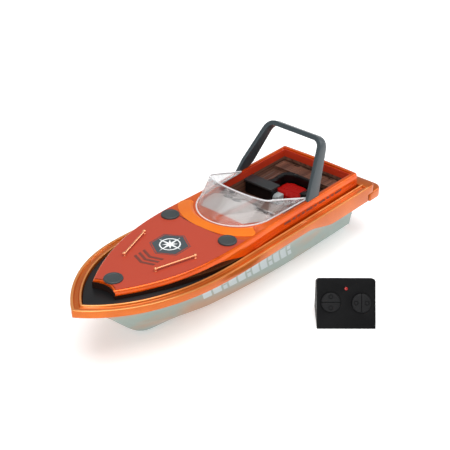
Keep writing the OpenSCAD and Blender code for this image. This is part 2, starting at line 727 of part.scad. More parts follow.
pad_half = pad_w / 2;
pad_top_y = pad_face * sin(pad_lean);
pad_top_z = pad_face * cos(pad_lean);
front_t = 6;
face_wall = 1.6;
pad_keys = [[-12.8, 22], [12.8, 21.4]];

module pad_block(inset) {
    side_outline = [
        [inset * 1.8, inset], [pad_top_y + inset * 0.4, pad_top_z - inset * 1.3],
        [pad_top_y + 10, pad_top_z - 6 - inset * 1.3], [pad_depth - inset, 26 - inset], [pad_depth - inset, inset]
    ];
    translate([pad_half - inset, 0, 0]) rotate([90, 0, -90]) linear_extrude(pad_w - 2 * inset) polygon([for (p = side_outline) [-p[0], p[1]]]);
}

module face_slab(y0, y1, half, low, high) {
    rotate([-pad_lean, 0, 0]) box([-half, y0, low], [half, y1, high]);
}

module pad_corners() {
    rotate([-pad_lean, 0, 0]) for (side = [1, -1]) difference() {
        translate([side * (pad_half - 1), 0, pad_face - 1]) cube([4, 60, 4], center = true);
        translate([side * (pad_half - 3), 40, pad_face - 3]) rotate([90, 0, 0]) cylinder(r = 3, h = 80, $fn = 40);
    }
}

module remote_front() color("#191919") stand_pad() difference() {
    intersection() {
        pad_block(0);
        face_slab(-1, front_t, pad_half + 1, -10, pad_face + 5);
    }
    intersection() {
        pad_block(face_wall);
        face_slab(face_wall, front_t + 1, pad_half, -10, pad_face);
    }
    pad_corners();
    rotate([-pad_lean, 0, 0]) {
        for (k = pad_keys) translate([k[0], 5, k[1]]) rotate([90, 0, 0]) cylinder(r = button_r + 0.3, h = 10, $fn = 60);
        translate([0, 5, 33.4]) rotate([90, 0, 0]) cylinder(r = 1.5, h = 10, $fn = 32);
    }
}

module remote_back() color("#1d1d1d") stand_pad() difference() {
    pad_block(0);
    face_slab(-2, front_t, pad_half + 1, -10, pad_face + 5);
    difference() {
        pad_block(face_wall);
        face_slab(-20, front_t - 1, pad_half + 1, -10, pad_face + 5);
    }
    pad_corners();
    box([-23.4, pad_depth - 1.5, 3], [23.4, pad_depth + 1, 40]);
    box([-22.6, pad_depth - 4, 3.6], [22.6, pad_depth + 1, 23.6]);
}

// Half of a round key: the split runs across for the throttle and up for the rudder
module key_half(centre, turn) on_face() translate([centre[0], 0, centre[1]]) rotate([0, turn, 0]) {
    difference() {
        rotate([90, 0, 0]) translate([0, 0, -4.6]) {
            translate([0, 0, 0.6]) cylinder(r = button_r, h = 5, $fn = 60);
            cylinder(r = button_r + 1.1, h = 1.6, $fn = 60);
            translate([0, 0, 5.6]) cylinder(r1 = button_r, r2 = button_r - 1.4, h = 0.5, $fn = 60);
        }
        box([-20, -10, -20], [20, 10, 0.25]);
        translate([0, -1.5, 4.6]) rotate([90, 0, 0]) difference() {
            cylinder(r = 2, h = 2, center = true, $fn = 32);
            cylinder(r = 1.3, h = 3, center = true, $fn = 32);
        }
    }
}

module button_ahead() color("#242424") key_half(pad_keys[0], 0);
module button_astern() color("#242424") key_half(pad_keys[0], 180);
module button_left() color("#242424") key_half(pad_keys[1], -90);
module button_right() color("#242424") key_half(pad_keys[1], 90);

module remote_board() color("#1f6b3c") stand_pad() face_slab(6.6, 7.8, 22, 15, 37);

module remote_lamp() color("#c02020") on_face() translate([0, 6.6, 33.4]) rotate([90, 0, 0]) {
    cylinder(r = 1.45, h = 6.8, $fn = 32);
}

module remote_cells() color("#4a7a4a") stand_pad() for (z = [7.4, 18.1]) translate([0, 26.8, z]) {
    x_cylinder(-21.8, 20.8, 5.2);
    x_cylinder(20.8, 21.9, 1.9);
}

module remote_contacts() color("#d0d0d0") stand_pad() for (side = [1, -1], z = [7.4, 18.1]) {
    x0 = side > 0 ? 21.9 : -22.4;
    box([x0, 24, z - 3], [x0 + 0.6, 29.6, z + 3]);
}

module remote_battery_door() color("#1d1d1d") stand_pad() difference() {
    box([-23.1, pad_depth - 1.2, 3.3], [23.1, pad_depth, 25.4]);
    for (k = [0:3]) box([-6, pad_depth - 0.4, 17 + 1.6 * k], [6, pad_depth + 1, 17.8 + 1.6 * k]);
}

hull_tub();
hull_gasket();
deck_moulding();
foredeck_tray();
coachroof();
deck_decal();
deck_badge();
deck_plugs();
deck_screws();
grab_rails();
windscreen();
cockpit_liner();
dash_panel();
helm_seat();
helm_seat_cap();
side_locker();
bench_back();
bench_cushion();
battery_hatch();
hatch_hinge_pin();
roll_arch();
stern_tubes();
prop_shaft_port();
prop_shaft_stbd();
propeller_port();
propeller_stbd();
prop_nut_port();
prop_nut_stbd();
coupling_port();
coupling_stbd();
motor_cans();
motor_end_caps();
motor_rotor_port();
motor_rotor_stbd();
motor_cradle();
motor_clamp();
clamp_screws();
battery_tray();
battery_cell();
receiver_board();
board_chips();
board_screws();
wiring_loom();
switch_body();
switch_slider();
charge_socket();
charge_cover();
water_contacts();
remote_front();
remote_back();
button_ahead();
button_astern();
button_left();
button_right();
remote_board();
remote_lamp();
remote_cells();
remote_contacts();
remote_battery_door();
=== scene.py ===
# %% [markdown]
# # A toy speedboat and its handset
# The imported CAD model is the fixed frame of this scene: it says how large the boat is, where
# every part sits and what moves. Everything made here is a skin, a surface finish or a small
# detail on that frame, so the first step only loads it and notes how large it is.

# %% Load the frame
import json
import math

import bmesh
import bpy
from mathutils import Matrix, Vector


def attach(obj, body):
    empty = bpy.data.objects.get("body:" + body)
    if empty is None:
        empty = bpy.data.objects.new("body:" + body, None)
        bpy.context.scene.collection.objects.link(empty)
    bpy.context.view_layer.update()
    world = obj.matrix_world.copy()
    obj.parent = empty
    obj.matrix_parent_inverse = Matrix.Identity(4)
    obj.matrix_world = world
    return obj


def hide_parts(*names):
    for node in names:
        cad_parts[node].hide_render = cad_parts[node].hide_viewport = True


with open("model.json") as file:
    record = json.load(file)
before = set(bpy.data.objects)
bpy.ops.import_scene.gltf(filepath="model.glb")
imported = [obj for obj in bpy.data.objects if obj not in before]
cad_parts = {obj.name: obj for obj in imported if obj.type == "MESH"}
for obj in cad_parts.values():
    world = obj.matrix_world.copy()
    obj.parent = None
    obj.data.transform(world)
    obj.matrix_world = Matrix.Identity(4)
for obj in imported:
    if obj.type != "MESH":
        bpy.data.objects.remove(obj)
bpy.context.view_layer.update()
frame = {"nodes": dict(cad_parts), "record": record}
record = frame["record"]
BODY_OF = {node: body for body, nodes in record["behaviour"]["bodies"].items() for node in nodes}
SLOT_OF = {part["node"]: part["material_slot"] for part in record["subparts"]}

# %% [markdown]
# ## Camera, light and floor
# The boat is seen from its port bow, a little from above, with a long lens that keeps its sides
# nearly parallel. The camera is aimed at one point of the boat and placed by its direction and
# distance, which is easier to read than three angles. The light is that of a plain product
# table: a pale room, one large soft lamp and a weaker one, over a floor that is almost white.

# %% Camera
AIM = Vector((-0.0087, 0, 0.0551))
AZIMUTH = math.radians(131.2)
ELEVATION = math.radians(30.7)
DISTANCE = 1.058
toward_camera = Vector((
    math.sin(AZIMUTH) * math.cos(ELEVATION),
    -math.cos(AZIMUTH) * math.cos(ELEVATION),
    math.sin(ELEVATION),
))
camera = bpy.data.objects.new("camera", bpy.data.cameras.new("camera"))
camera.data.lens = 98
camera.data.sensor_width = 36
camera.data.clip_end = 20
camera.location = AIM + toward_camera * DISTANCE
camera.rotation_euler = toward_camera.to_track_quat("Z", "Y").to_euler()
bpy.context.scene.collection.objects.link(camera)
bpy.context.scene.camera = camera
bpy.context.scene.view_settings.view_transform = "Standard"

# %% Lamps and room light
def soft_lamp(name, place, size, watts):
    """A large square white lamp that points at the boat."""
    lamp = bpy.data.objects.new(name, bpy.data.lights.new(name, "AREA"))
    lamp.data.energy = watts
    lamp.data.size = size
    lamp.location = place
    lamp.rotation_euler = (lamp.location - AIM).to_track_quat("Z", "Y").to_euler()
    bpy.context.scene.collection.objects.link(lamp)


soft_lamp("overhead_box", (0.15, 0.25, 1.7), 1.7, 30)
soft_lamp("bow_strip", (1.5, 0.9, 0.8), 0.5, 6)
soft_lamp("stern_strip", (-1.3, 0.6, 0.7), 0.5, 4)
world = bpy.data.worlds.new("dim_room")
bpy.context.scene.world = world
world.use_nodes = True
room_light = world.node_tree.nodes["Background"].inputs
room_light["Color"].default_value = (0.95, 0.97, 1.0, 1)
room_light["Strength"].default_value = 0.42

# %% [markdown]
# ## Helpers for finishes
# Every finish is one Principled shader with a few pattern nodes. Colours are written as the hex
# values that a paint chart would give and turned to linear light by one function. A second
# function adds any kind of node with its settings and links, so a pattern reads as a short list.

# %% Colour and node helpers
MM = 0.001


def linear(hex_colour, alpha=1.0):
    """An sRGB hex colour as linear red, green, blue and alpha."""
    parts = [int(hex_colour[i:i + 2], 16) / 255 for i in (1, 3, 5)]
    return [p / 12.92 if p <= 0.04045 else ((p + 0.055) / 1.055) ** 2.4 for p in parts] + [alpha]


def add_node(tree, kind, links=None, **settings):
    """Adds a node. Settings name its properties; links name its inputs and hold values or sockets."""
    made = tree.nodes.new(kind)
    for name, value in settings.items():
        setattr(made, name, value)
    for name, value in (links or {}).items():
        if isinstance(value, bpy.types.NodeSocket):
            tree.links.new(value, made.inputs[name])
        else:
            made.inputs[name].default_value = value
    return made


def finish(name, hex_colour, roughness, **sockets):
    """A named finish: its material, with the shader's own sockets set."""
    material = bpy.data.materials.new(name)
    material.use_nodes = True
    shader = material.node_tree.nodes["Principled BSDF"]
    shader.inputs["Base Color"].default_value = linear(hex_colour)
    shader.inputs["Roughness"].default_value = roughness
    for socket, value in sockets.items():
        shader.inputs[socket.replace("_", " ")].default_value = value
    return material


def shader_of(material):
    return material.node_tree.nodes["Principled BSDF"]


def object_place(tree):
    """Where a point is on the piece, in metres."""
    return add_node(tree, "ShaderNodeTexCoord").outputs["Object"]


def maths(tree, operation, first, second):
    """One step of arithmetic on two values or sockets."""
    return add_node(tree, "ShaderNodeMath", {0: first, 1: second}, operation=operation).outputs[0]


def mapped(tree, value, start, end, first=0.0, last=1.0, **settings):
    """A value that runs from start to end, stretched to run from first to last."""
    return add_node(tree, "ShaderNodeMapRange", {
        "Value": value, "From Min": start, "From Max": end, "To Min": first, "To Max": last},
        **settings).outputs["Result"]


def ramp(tree, amount, *stops):
    """A colour ramp with two stops, each a place on it and a hex colour."""
    made = add_node(tree, "ShaderNodeValToRGB", {"Fac": amount})
    for element, (place, hex_colour) in zip(made.color_ramp.elements, stops):
        element.position = place
        element.color = linear(hex_colour)
    return made.outputs["Color"]


def blend(tree, amount, first, second):
    """Two colours mixed by an amount. Each is a hex colour or a socket."""
    first, second = (linear(c) if isinstance(c, str) else c for c in (first, second))
    return add_node(tree, "ShaderNodeMix", {"Factor": amount, 6: first, 7: second},
                    data_type="RGBA").outputs[2]


def grain(material, size_mm, bump, spread=0.08, stretch=(1, 1, 1)):
    """Fine moulded or woven grain: a bump and a slight change of roughness and of shade."""
    tree = material.node_tree
    shader = shader_of(material)
    scaled = add_node(tree, "ShaderNodeMapping", {"Vector": object_place(tree), "Scale": stretch})
    noise = add_node(tree, "ShaderNodeTexNoise", {
        "Vector": scaled.outputs["Vector"], "Scale": 1 / (size_mm * MM), "Detail": 3.0})
    rough = shader.inputs["Roughness"].default_value
    varied = mapped(tree, noise.outputs["Fac"], 0.0, 1.0, max(0.02, rough - spread), rough + spread)
    lift = add_node(tree, "ShaderNodeBump", {
        "Height": noise.outputs["Fac"], "Strength": 0.5, "Distance": bump * MM})
    tree.links.new(varied, shader.inputs["Roughness"])
    tree.links.new(lift.outputs["Normal"], shader.inputs["Normal"])
    return material


# %% Floor
# A white sheet that holds only a faint shadow
FLOOR_HALF, FLOOR_Z = 4.0, -0.0003
floor_finish = finish("white_table_laminate", "#F7F7F7", 0.7, Emission_Color=(1, 1, 1, 1),
                      Emission_Strength=0.3)
floor_mesh = bpy.data.meshes.new("floor")
floor_mesh.from_pydata([(sx * FLOOR_HALF, sy * FLOOR_HALF, FLOOR_Z)
                        for sx, sy in ((-1, -1), (1, -1), (1, 1), (-1, 1))], [], [(0, 1, 2, 3)])
floor = bpy.data.objects.new("floor", floor_mesh)
floor_mesh.materials.append(grain(floor_finish, 2, 0.01, 0.05))
bpy.context.scene.collection.objects.link(floor)

# %% [markdown]
# ## Finishes of the boat
# The deck and the raised roof are moulded ABS under a metallic orange lacquer: a tinted clear
# coat over fine flake, so the body is slightly metallic and a smooth coat gives the sharp
# highlights. The hull is a smoky blue-grey moulding that fades to salmon under the gunwale, where
# the lacquer is sprayed on to it.

# %% Metallic orange lacquer
FLAKE_MM = 0.35
DRIFT_SHARE, FLAKE_SHARE = 0.75, 0.35


def flake_lacquer(name, deep, bright, metallic, roughness):
    """Metallic lacquer over moulded ABS: fine flake, a darker tint that drifts at random, a clear coat."""
    material = finish(name, bright, roughness, Metallic=metallic, Coat_Weight=0.45, Coat_Roughness=0.06,
                      Specular_IOR_Level=0.25)
    tree = material.node_tree
    place = object_place(tree)
    flakes = add_node(tree, "ShaderNodeTexVoronoi", {"Vector": place, "Scale": 1 / (FLAKE_MM * MM)})
    drift = add_node(tree, "ShaderNodeTexNoise", {"Vector": place, "Scale": 28.0, "Detail": 2.0})
    both = maths(tree, "ADD", maths(tree, "MULTIPLY", drift.outputs["Fac"], DRIFT_SHARE),
                 maths(tree, "MULTIPLY", flakes.outputs["Distance"], FLAKE_SHARE))
    tint = ramp(tree, both, (0.25, deep), (0.75, bright))
    tree.links.new(tint, shader_of(material).inputs["Base Color"])
    return material


# Deep orange that flares where it turns to the lamp
roof_lacquer = flake_lacquer("orange_red_flake_lacquer", "#C83C00", "#FA6C04", 0.55, 0.24)
# A lighter amber copy of the roof lacquer, with part of the bright band's highlight painted into its
# colour
surround_highlight_lacquer = flake_lacquer("amber_orange_flake_lacquer", "#F0660A", "#FF8A1C", 0.35, 0.3)
# A browner orange, so the gunwale parts from the roof
rail_lacquer = flake_lacquer("pale_orange_flake_lacquer", "#B04E0C", "#D96E1C", 0.6, 0.3)
# Two round beads along the gunwale, in a paler copy of the rail lacquer that paints their highlight
bead_highlight_lacquer = flake_lacquer("bright_orange_flake_lacquer", "#DC8038", "#F4A25A", 0.6, 0.22)
# A dark strip at the foot of the roof's wall: painted shade and dark reflection of the tray
painted_shade_gloss = finish("dark_brown_gloss_lacquer", "#2A1710", 0.12, Coat_Weight=0.6, Coat_Roughness=0.05)

# %% Smoke-grey hull moulding with sprayed salmon fade
HULL_GREY, HULL_SALMON = "#98ACA4", "#DB8840"
# Heights and stations of the hull's colours, in metres
FADE_FROM, FADE_TO = 0.031, 0.050
FADE_WAVER = 0.010
HAZE_SLANT = -0.13
HAZE_FROM, HAZE_TO = 0.008, 0.022
HAZE_GONE_X, HAZE_FULL_X = 0.085, 0.055
# Cool smoky sides with a warm glow under the gunwale
hull_moulding = finish(
    "smoky_clear_styrene", HULL_GREY, 0.28, Coat_Weight=0.3, Coat_Roughness=0.1, IOR=1.55,
    Transmission_Weight=0.12)


def paint_hull(material):
    """Blue-grey resin, a salmon fade under the gunwale and a slanting salmon haze amidships."""
    tree = material.node_tree
    place = object_place(tree)
    parts = add_node(tree, "ShaderNodeSeparateXYZ", {"Vector": place}).outputs
    waver = add_node(tree, "ShaderNodeTexNoise", {"Vector": place, "Scale": 9.0, "Detail": 1.0})
    height = maths(tree, "ADD", parts["Z"], maths(tree, "MULTIPLY", waver.outputs["Fac"], FADE_WAVER))
    fade = mapped(tree, height, FADE_FROM, FADE_TO, interpolation_type="SMOOTHSTEP")
    along = maths(tree, "ADD", height, maths(tree, "MULTIPLY", parts["X"], HAZE_SLANT))
    haze = mapped(tree, along, HAZE_FROM, HAZE_TO, 0.55, 0.0, interpolation_type="SMOOTHSTEP")
    aft = mapped(tree, parts["X"], HAZE_GONE_X, HAZE_FULL_X, interpolation_type="SMOOTHSTEP")
    long = add_node(tree, "ShaderNodeMapping", {"Vector": place, "Scale": (22.0, 22.0, 60.0)})
    drift = add_node(tree, "ShaderNodeTexNoise", {
        "Vector": long.outputs["Vector"], "Scale": 1.0, "Detail": 2.0})
    mist = mapped(tree, drift.outputs["Fac"], 0.52, 0.72, 0.0, 0.36)
    hazes = maths(tree, "MAXIMUM", mist, maths(tree, "MULTIPLY", haze, aft))
    colour = blend(tree, maths(tree, "MAXIMUM", fade, hazes), HULL_GREY, HULL_SALMON)
    tree.links.new(colour, shader_of(material).inputs["Base Color"])


paint_hull(hull_moulding)

# %% Printed film, rubber, clear screen and trim
# A dull red field without flake or shine
decal_film = grain(finish("satin_printed_film", "#B0402A", 0.42, Specular_IOR_Level=0.35), 0.5, 0.01)
# Flat charcoal that the star stands out from
badge_ink = grain(finish("charcoal_screen_ink", "#3F474B", 0.5), 0.4, 0.01)
# The only pure white on the deck
star_ink = grain(finish("white_screen_ink", "#E9ECEC", 0.5), 0.4, 0.01)
# Small warm glints from the grab rails
copper_trim = grain(finish("metallised_copper_trim", "#F3A377", 0.18, Metallic=0.8), 3, 0.005, 0.05)
# Grey-green discs that take no highlight
plug_rubber = grain(finish("moulded_nitrile_rubber", "#343A3B", 0.5), 0.6, 0.03)
# Plain dark plastic with a soft sheen
black_styrene = grain(finish("satin_black_styrene", "#101011", 0.42, Specular_IOR_Level=0.35), 0.7, 0.03)
# Black with a faint fore-and-aft brushing
tray_styrene = grain(finish("brushed_black_styrene", "#2B2826", 0.3, Coat_Weight=0.3), 1.2, 0.02,
                     0.06, (1, 6, 1))
# Padded black that keeps its folds readable
gloss_black = grain(finish("padded_black_vinyl", "#070708", 0.4, Specular_IOR_Level=0.3), 0.8, 0.05)
# Cool slate grey, the counterweight to the orange
arch_grey = grain(finish("moulded_grey_nylon", "#353E42", 0.36, Coat_Weight=0.15), 0.7, 0.02)
# A pale spot beside the helm
light_grey = grain(finish("light_grey_abs", "#9DA3A3", 0.42), 0.8, 0.02)
# The light shape that shows through the screen
dash_grey = grain(finish("teal_grey_abs", "#C2B6B1", 0.35, Coat_Weight=0.3), 0.8, 0.02)
# Saturated red with a slight cushion sheen
red_vinyl = grain(finish("red_stitched_vinyl", "#A00500", 0.45, Specular_IOR_Level=0.15), 0.9, 0.08)
# Milky plastic of the motors' end caps and cradle
white_nylon = grain(finish("natural_nylon", "#E2E2DA", 0.5), 0.8, 0.02)
# Dull and light-absorbing, for seals and covers
black_rubber = grain(finish("black_silicone_rubber", "#1C1C1D", 0.6), 0.7, 0.03)
# Almost nothing but reflections
screen_clear = grain(finish("polished_clear_acrylic", "#F2F6F7", 0.04, Transmission_Weight=0.96,
                            IOR=1.45, Alpha=0.5), 6, 0.004, 0.02)
# White rims that paint the highlights along the windscreen's edges
screen_edge_highlight = grain(finish("frosted_acrylic_edge", "#F3F3F4", 0.3, Transmission_Weight=0.3), 1, 0.01)

# %% Cabin finishes
# Height of one printed board, of the seam under it and of the line where lacquer begins, in metres
BOARD_PITCH, SEAM = 0.0046, 0.0006
LACQUER_FROM = 0.0588
# Brown print that sinks into the red film
film_ink = grain(finish("brown_screen_ink", "#6E3226", 0.5), 0.4, 0.01)
# Pale bars that stand out a little from the hull
flash_ink = grain(finish("pale_pad_print_ink", "#C4D0D2", 0.4), 0.5, 0.01)
# One step lighter than the seat under it
cap_grey = grain(finish("grey_moulded_cap", "#242627", 0.45), 0.8, 0.02)


def board_print(name, upper):
    """Printed boards: brown wood with dark seams. Above a height the print gives way to lacquer."""
    material = finish(name, "#5E3F30", 0.4, Coat_Weight=0.25, Coat_Roughness=0.2)
    tree = material.node_tree
    shader = shader_of(material)
    place = object_place(tree)
    long = add_node(tree, "ShaderNodeMapping", {"Vector": place, "Scale": (14.0, 260.0, 260.0)})
    fibre = add_node(tree, "ShaderNodeTexNoise", {
        "Vector": long.outputs["Vector"], "Scale": 1.0, "Detail": 4.0}).outputs["Fac"]
    colour = ramp(tree, fibre, (0.3, "#3E251B"), (0.75, "#7A5240"))
    if upper:
        height = add_node(tree, "ShaderNodeSeparateXYZ", {"Vector": place}).outputs["Z"]
        seam = maths(tree, "LESS_THAN", maths(tree, "MODULO", height, BOARD_PITCH), SEAM)
        lined = blend(tree, seam, colour, "#1E120D")
        colour = blend(tree, maths(tree, "GREATER_THAN", height, LACQUER_FROM), lined, "#B02A08")
    tree.links.new(colour, shader.inputs["Base Color"])
    bumped = add_node(tree, "ShaderNodeBump", {"Height": fibre, "Strength": 0.3, "Distance": 0.0001})
    tree.links.new(bumped.outputs["Normal"], shader.inputs["Normal"])
    return material


# Brown planks up to a line, lacquer above it
cabin_print = board_print("printed_liner_film", True)
# The same planks, for the loose boards
cabin_boards = board_print("printed_wood_boards", False)

# %% Metals, electronics and handset
# Cool bright metal, slightly blurred
zinc = grain(finish("zinc_plated_steel", "#C6C9CB", 0.28, Metallic=1.0), 0.8, 0.01)
# A mirror line along the shafts
shaft_steel = grain(finish("ground_stainless_steel", "#D0D2D4", 0.2, Metallic=1.0), 0.4, 0.01,
                    0.06, (1, 8, 8))
# Yellow metal with drawn lines
drawn_brass = grain(finish("drawn_brass", "#D9B45A", 0.24, Metallic=1.0), 0.8, 0.01)
# Rolled steel, duller along its length
can_steel = grain(finish("rolled_motor_steel", "#B9BDC0", 0.3, Metallic=1.0), 0.9, 0.01, 0.08, (1, 5, 5))
# Copper strands seen at the motor
windings = grain(finish("enamelled_copper_windings", "#9A5A32", 0.35, Metallic=0.9), 0.6, 0.1,
                 0.1, (1, 6, 1))
# Near-black with a fibre-filled satin
prop_nylon = grain(finish("glass_filled_nylon", "#23282A", 0.35), 0.5, 0.02)
# Tight shiny blue wrap
cell_sleeve = grain(finish("blue_shrink_sleeve", "#2A63AC", 0.25, Coat_Weight=0.5), 2, 0.03)
# Foil green with a metallic cast
aaa_sleeve = grain(finish("green_foil_sleeve", "#4B7C50", 0.25, Metallic=0.4), 1.5, 0.02)
# The wet green of a circuit board
solder_mask = grain(finish("green_solder_mask", "#1C6B3D", 0.35, Coat_Weight=0.4), 1.4, 0.02)
# Matt black of moulded chips
chip_epoxy = grain(finish("chip_epoxy", "#17181A", 0.5), 0.4, 0.02)
# Soft red wire insulation
wire_skin = grain(finish("red_silicone_insulation", "#B4221C", 0.5), 0.8, 0.02)
# Fine spark texture that stays black in the light
case_abs = grain(finish("spark_textured_black_abs", "#0B0B0C", 0.5, Specular_IOR_Level=0.12), 0.55, 0.06)
# A touch duller than the case round it
key_rubber = grain(finish("soft_key_rubber", "#161617", 0.6, Specular_IOR_Level=0.2), 0.5, 0.04)
# A small clear red dot
lamp_red = grain(finish("red_lamp_lens", "#B3201B", 0.15, Transmission_Weight=0.3), 1, 0.01)

FINISH_OF_SLOT = {
    "translucent_hull": hull_moulding, "black_rubber": black_rubber, "metallised_rail": rail_lacquer,
    "black_plastic": black_styrene, "metallised_roof": roof_lacquer, "red_decal": decal_film,
    "badge_print": badge_ink, "plug_rubber": plug_rubber, "zinc_steel": zinc,
    "rail_copper": copper_trim, "clear_screen": screen_clear, "cabin_brown": roof_lacquer,
    "dash_grey": dash_grey, "black_gloss": gloss_black, "arch_grey": arch_grey,
    "light_grey": light_grey, "red_vinyl": red_vinyl, "plank_print": roof_lacquer,
    "brass": drawn_brass, "shaft_steel": shaft_steel, "prop_plastic": prop_nylon,
    "motor_steel": can_steel, "white_nylon": white_nylon, "armature": windings,
    "cell_wrap": cell_sleeve, "circuit_board": solder_mask, "chip_black": chip_epoxy,
    "wire_red": wire_skin, "handset_black": case_abs, "button_black": key_rubber,
    "red_lamp": lamp_red, "aaa_wrap": aaa_sleeve, "spring_steel": zinc,
}
for node_name, cad_object in frame["nodes"].items():
    cad_object.data.materials.clear()
    cad_object.data.materials.append(FINISH_OF_SLOT[SLOT_OF[node_name]])
print("finishes", len(bpy.data.materials))

# %% [markdown]
# ## Helpers for shapes
# Most pieces of a moulded toy are lofts: one outline that changes a little from station to
# station. The loft helper joins rows of points into a skin, and every size is written in
# millimetres and turned to metres at the last moment, as the drawings of such a toy would be.

# %% Mesh helpers
def shade(shape, degrees):
    """Shades a mesh smooth but for the edges where its faces turn by more than an angle."""
    for face in shape.faces:
        face.smooth = True
    for edge in shape.edges:
        edge.smooth = len(edge.link_faces) == 2 and edge.calc_face_angle(0) < math.radians(degrees)


def sharp_edges(shape, degrees):
    """The edges where two faces meet and turn by more than an angle."""
    return [edge for edge in shape.edges
            if len(edge.link_faces) == 2 and edge.calc_face_angle(0) > math.radians(degrees)]


def new_piece(name, points, faces, material, body, node=None, smooth_angle=34, slot=None):
    """A mesh from points in millimetres. It rides on a body and may stand for a CAD node."""
    mesh = bpy.data.meshes.new(name)
    mesh.from_pydata([Vector(p) * MM for p in points], [], faces)
    return dress(bpy.data.objects.new(name, mesh), material, body, node, smooth_angle)


def dress(piece, material, body, node=None, smooth_angle=34):
    """Links a piece, points its faces outwards, shades it and puts it on its body."""
    if piece.name not in bpy.context.scene.collection.objects:
        bpy.context.scene.collection.objects.link(piece)
    shape = bmesh.new()
    shape.from_mesh(piece.data)
    bmesh.ops.remove_doubles(shape, verts=shape.verts, dist=0.002 * MM)
    bmesh.ops.recalc_face_normals(shape, faces=shape.faces)
    shade(shape, smooth_angle)
    shape.to_mesh(piece.data)
    shape.free()
    piece.data.materials.clear()
    piece.data.materials.append(material)
    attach(piece, body)
    if node:
        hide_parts(node)
    return piece


def loft(rows, ring=True, caps=True):
    """Points and faces of a skin over rows of points. A ring closes each row on itself."""
    count = len(rows[0])
    points = [p for row in rows for p in row]
    span = count if ring else count - 1
    faces = []
    for i in range(len(rows) - 1):
        for j in range(span):
            a, b = i * count + j, i * count + (j + 1) % count
            faces.append((a, b, b + count, a + count))
    if ring and caps:
        faces.append(tuple(range(count)))
        faces.append(tuple(reversed(range(len(points) - count, len(points)))))
    return points, faces


def rounded(corners, radius, steps=4, closed=True):
    """A polyline with its corners turned into small arcs."""
    made = []
    count = len(corners)
    for i, corner in enumerate(corners):
        if not closed and i in (0, count - 1):
            made.append(tuple(corner))
            continue
        here = Vector(corner)
        back = Vector(corners[i - 1]) - here
        ahead = Vector(corners[(i + 1) % count]) - here
        reach = min(radius, 0.45 * back.length, 0.45 * ahead.length)
        start, end = here + back.normalized() * reach, here + ahead.normalized() * reach
        for k in range(steps + 1):
            t = k / steps
            made.append(tuple(start * (1 - t) ** 2 + here * 2 * t * (1 - t) + end * t * t))
    return made


def tube(route, radius, sides):
    """Rows of points round a route, for loft()."""
    rows = []
    last = len(route) - 1
    for i in range(last + 1):
        way = (Vector(route[min(last, i + 1)]) - Vector(route[max(0, i - 1)])).normalized()
        side = way.cross(Vector((1, 0, 0)) if abs(way.z) > 0.9 else Vector((0, 0, 1))).normalized()
        up = side.cross(way)
        rows.append([Vector(route[i]) + radius * (math.cos(a) * side + math.sin(a) * up)
                     for a in (math.tau * k / sides for k in range(sides))])
    return rows


def joined(*shapes):
    """Several (points, faces) shapes as one."""
    points, faces = [], []
    for some_points, some_faces in shapes:
        start = len(points)
        points += list(some_points)
        faces += [tuple(start + k for k in face) for face in some_faces]
    return points, faces


def lathe(profile, steps):
    """A closed body of revolution about Z from [radius, height] points, axis end to axis end."""
    ring_count = len(profile) - 2
    points = [(0, 0, profile[0][1]), (0, 0, profile[-1][1])]
    for r, z in profile[1:-1]:
        points += [(r * math.cos(math.tau * k / steps), r * math.sin(math.tau * k / steps), z)
                   for k in range(steps)]
    faces = []
    for k in range(steps):
        nxt = (k + 1) % steps
        faces.append((0, 2 + nxt, 2 + k))
        faces.append((1, 2 + (ring_count - 1) * steps + k, 2 + (ring_count - 1) * steps + nxt))
        for i in range(ring_count - 1):
            a = 2 + i * steps
            faces.append((a + k, a + nxt, a + steps + nxt, a + steps + k))
    return points, faces


def moved(shape, matrix):
    """A (points, faces) shape turned and moved, in millimetres."""
    return [tuple(matrix @ Vector(p)) for p in shape[0]], shape[1]


def at(x, y, z):
    return Matrix.Translation((x, y, z))


def bake(piece):
    """Applies a piece's modifiers to its mesh."""
    graph = bpy.context.evaluated_depsgraph_get()
    made = bpy.data.meshes.new_from_object(piece.evaluated_get(graph))
    piece.modifiers.clear()
    piece.data = made
    return piece


# %% [markdown]
# ## Softened copies
# Parts that come from a plain mould keep their CAD shape, but no real edge is razor sharp. Such a
# part gets a copy whose loose triangles are merged, flat areas joined, and edges beveled by a
# fraction of a millimetre, because it is the thin highlight along an edge that makes a part look
# made rather than drawn.

# %% Bevel the plain parts
def softened(node, width_mm, material=None, angle=32, segments=2):
    """A beveled copy of a CAD node, which it replaces."""
    piece = frame["nodes"][node].copy()
    piece.data = frame["nodes"][node].data.copy()
    piece.name = f"{node}_moulding"
    piece.parent = None
    shape = bmesh.new()
    shape.from_mesh(piece.data)
    bmesh.ops.remove_doubles(shape, verts=shape.verts, dist=0.004 * MM)
    bmesh.ops.dissolve_limit(shape, angle_limit=math.radians(1.0), verts=shape.verts,
                             edges=shape.edges)
    bmesh.ops.bevel(shape, geom=sharp_edges(shape, angle), offset=width_mm * MM, segments=segments,
                    profile=0.5, affect="EDGES", clamp_overlap=True)
    bmesh.ops.triangulate(shape, faces=[f for f in shape.faces if len(f.verts) > 4])
    shape.to_mesh(piece.data)
    shape.free()
    for key in list(piece.keys()):
        del piece[key]
    return dress(piece, material or FINISH_OF_SLOT[SLOT_OF[node]], BODY_OF[node], node, 40)


# %% [markdown]
# ## The curves that the whole boat shares
# A boat is drawn from a few curves: the gunwale's outline seen from above, the sheer (how the
# gunwale rises to the bow), the keel and the chine. Every skin below is lofted from them, so the
# pieces meet without any fitting. The sizes are the CAD model's own.

